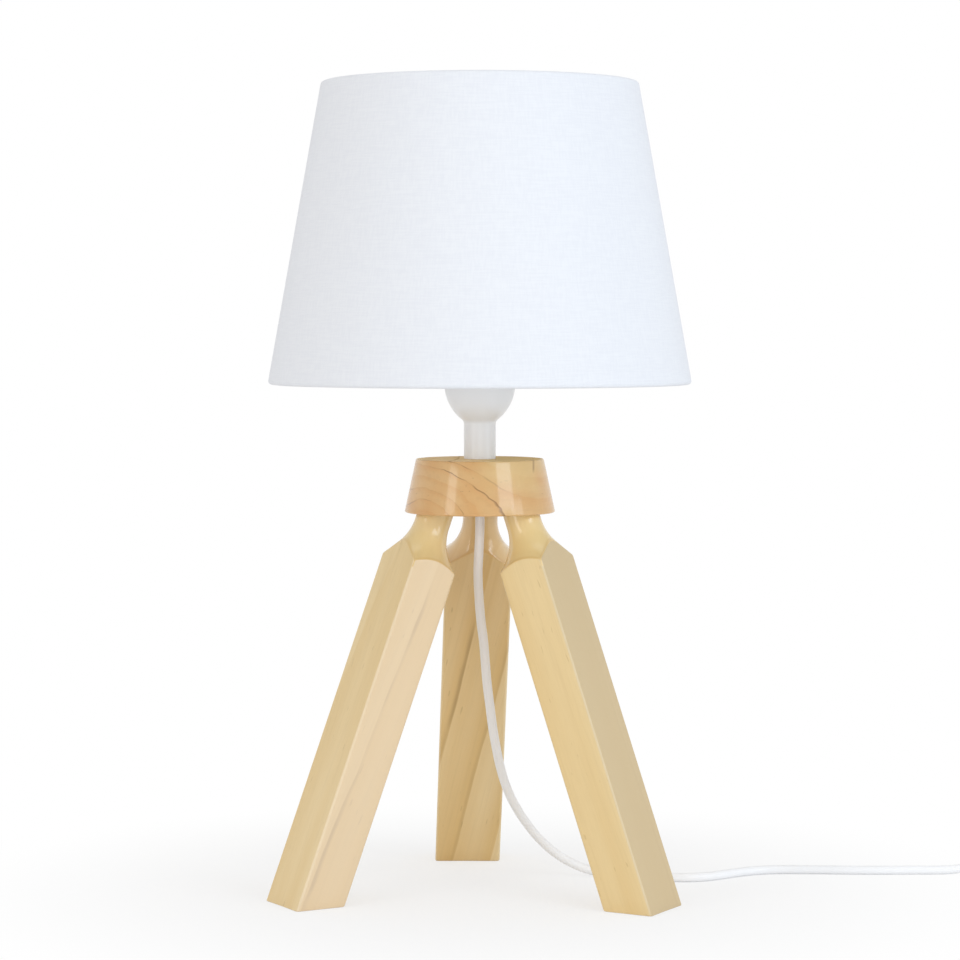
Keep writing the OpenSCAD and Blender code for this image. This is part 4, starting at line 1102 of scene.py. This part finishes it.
# %% Floor
FLOOR_Z = -0.0001
FLOOR_HALF = 4.0
SHADOW_NEAR = 0.08
SHADOW_FAR = 0.32
SHADOW_SHARE = 0.35


def seen_directly(tree):
    """One for rays from the camera, also off gloss and through glass; nought for the rest."""
    rays = put(tree, "ShaderNodeLightPath")
    camera_ray, glossy, through = [Value(tree, rays.outputs["Is %s Ray" % kind])
                                   for kind in ("Camera", "Glossy", "Transmission")]
    return camera_ray.math("MAXIMUM", camera_ray.math("MAXIMUM", camera_ray, glossy), through)


floor_mesh = bpy.data.meshes.new("studio_floor")
floor_mesh.from_pydata([(x * FLOOR_HALF, y * FLOOR_HALF, FLOOR_Z) for x, y in CORNERS],
                       [], [(0, 1, 2, 3)])
floor = new_object("studio_floor", floor_mesh)
floor_paint, floor_shader, floor_place = new_finish("studio_floor")
fx, fy = floor_place.parts()[:2]
near = 1.0 - ease((fx * fx + fy * fy) ** 0.5, SHADOW_NEAR, SHADOW_FAR)
tree = floor_place.tree
feed(floor_shader, {"Base Color": paint("F4F4F4"), "Roughness": 0.9,
                    "Specular IOR Level": 0.0})
plain = Value(tree, floor_shader.outputs[0])
glow = plain.node("ShaderNodeEmission", None, {"Color": (1, 1, 1, 1), "Strength": 1.0})
shadowed = plain.node("ShaderNodeMixShader", None, {0: near * SHADOW_SHARE, 1: glow, 2: plain})
shown = plain.node("ShaderNodeMixShader", None, {0: seen_directly(tree), 1: plain, 2: shadowed})
tree.links.new(shown.socket, tree.nodes["Material Output"].inputs["Surface"])
floor_mesh.materials.append(floor_paint)
print("floor laid")

# %% Strip lights and sky
SKY_LIGHT = 0.69
LIT_POINT = Vector((0.0, 0.0, 0.25))


def soft_light(name, place, size, power, colour):
    """A rectangular light that faces the lamp's stem; its power is in watts."""
    lamp = bpy.data.lights.new(name, "AREA")
    lamp.shape = "RECTANGLE"
    lamp.size, lamp.size_y = size
    lamp.energy = power
    lamp.color = colour
    holder = new_object(name, lamp)
    holder.location = place
    holder.rotation_euler = (LIT_POINT - Vector(place)).to_track_quat("-Z", "Y").to_euler()


soft_light("left_strip", (-1.25, -1.15, 0.5), (0.45, 0.9), 4.4, (1.0, 0.98, 0.95))
soft_light("right_box", (1.16, -1.24, 0.88), (0.80, 0.60), 6.8, (0.76, 0.87, 1.0))
soft_light("right_strip", (1.45, -0.85, 0.36), (0.6, 0.5), 2.8, (0.85, 0.93, 1.0))
soft_light("front_fill", (0.0, -2.1, 0.20), (1.0, 0.4), 2.2, (1.0, 1.0, 1.0))
soft_light("top_fill", (0.0, -0.3, 2.2), (1.6, 1.6), 3.0, (1.0, 1.0, 1.0))

world = bpy.data.worlds.new("studio")
scene.world = world
world.use_nodes = True
tree = world.node_tree
feed(tree.nodes["Background"], {"Color": (1.0, 1.0, 1.0, 1.0),
                                "Strength": seen_directly(tree) * (1 - SKY_LIGHT) + SKY_LIGHT})
scene.view_settings.view_transform = "Standard"
print("lights up")
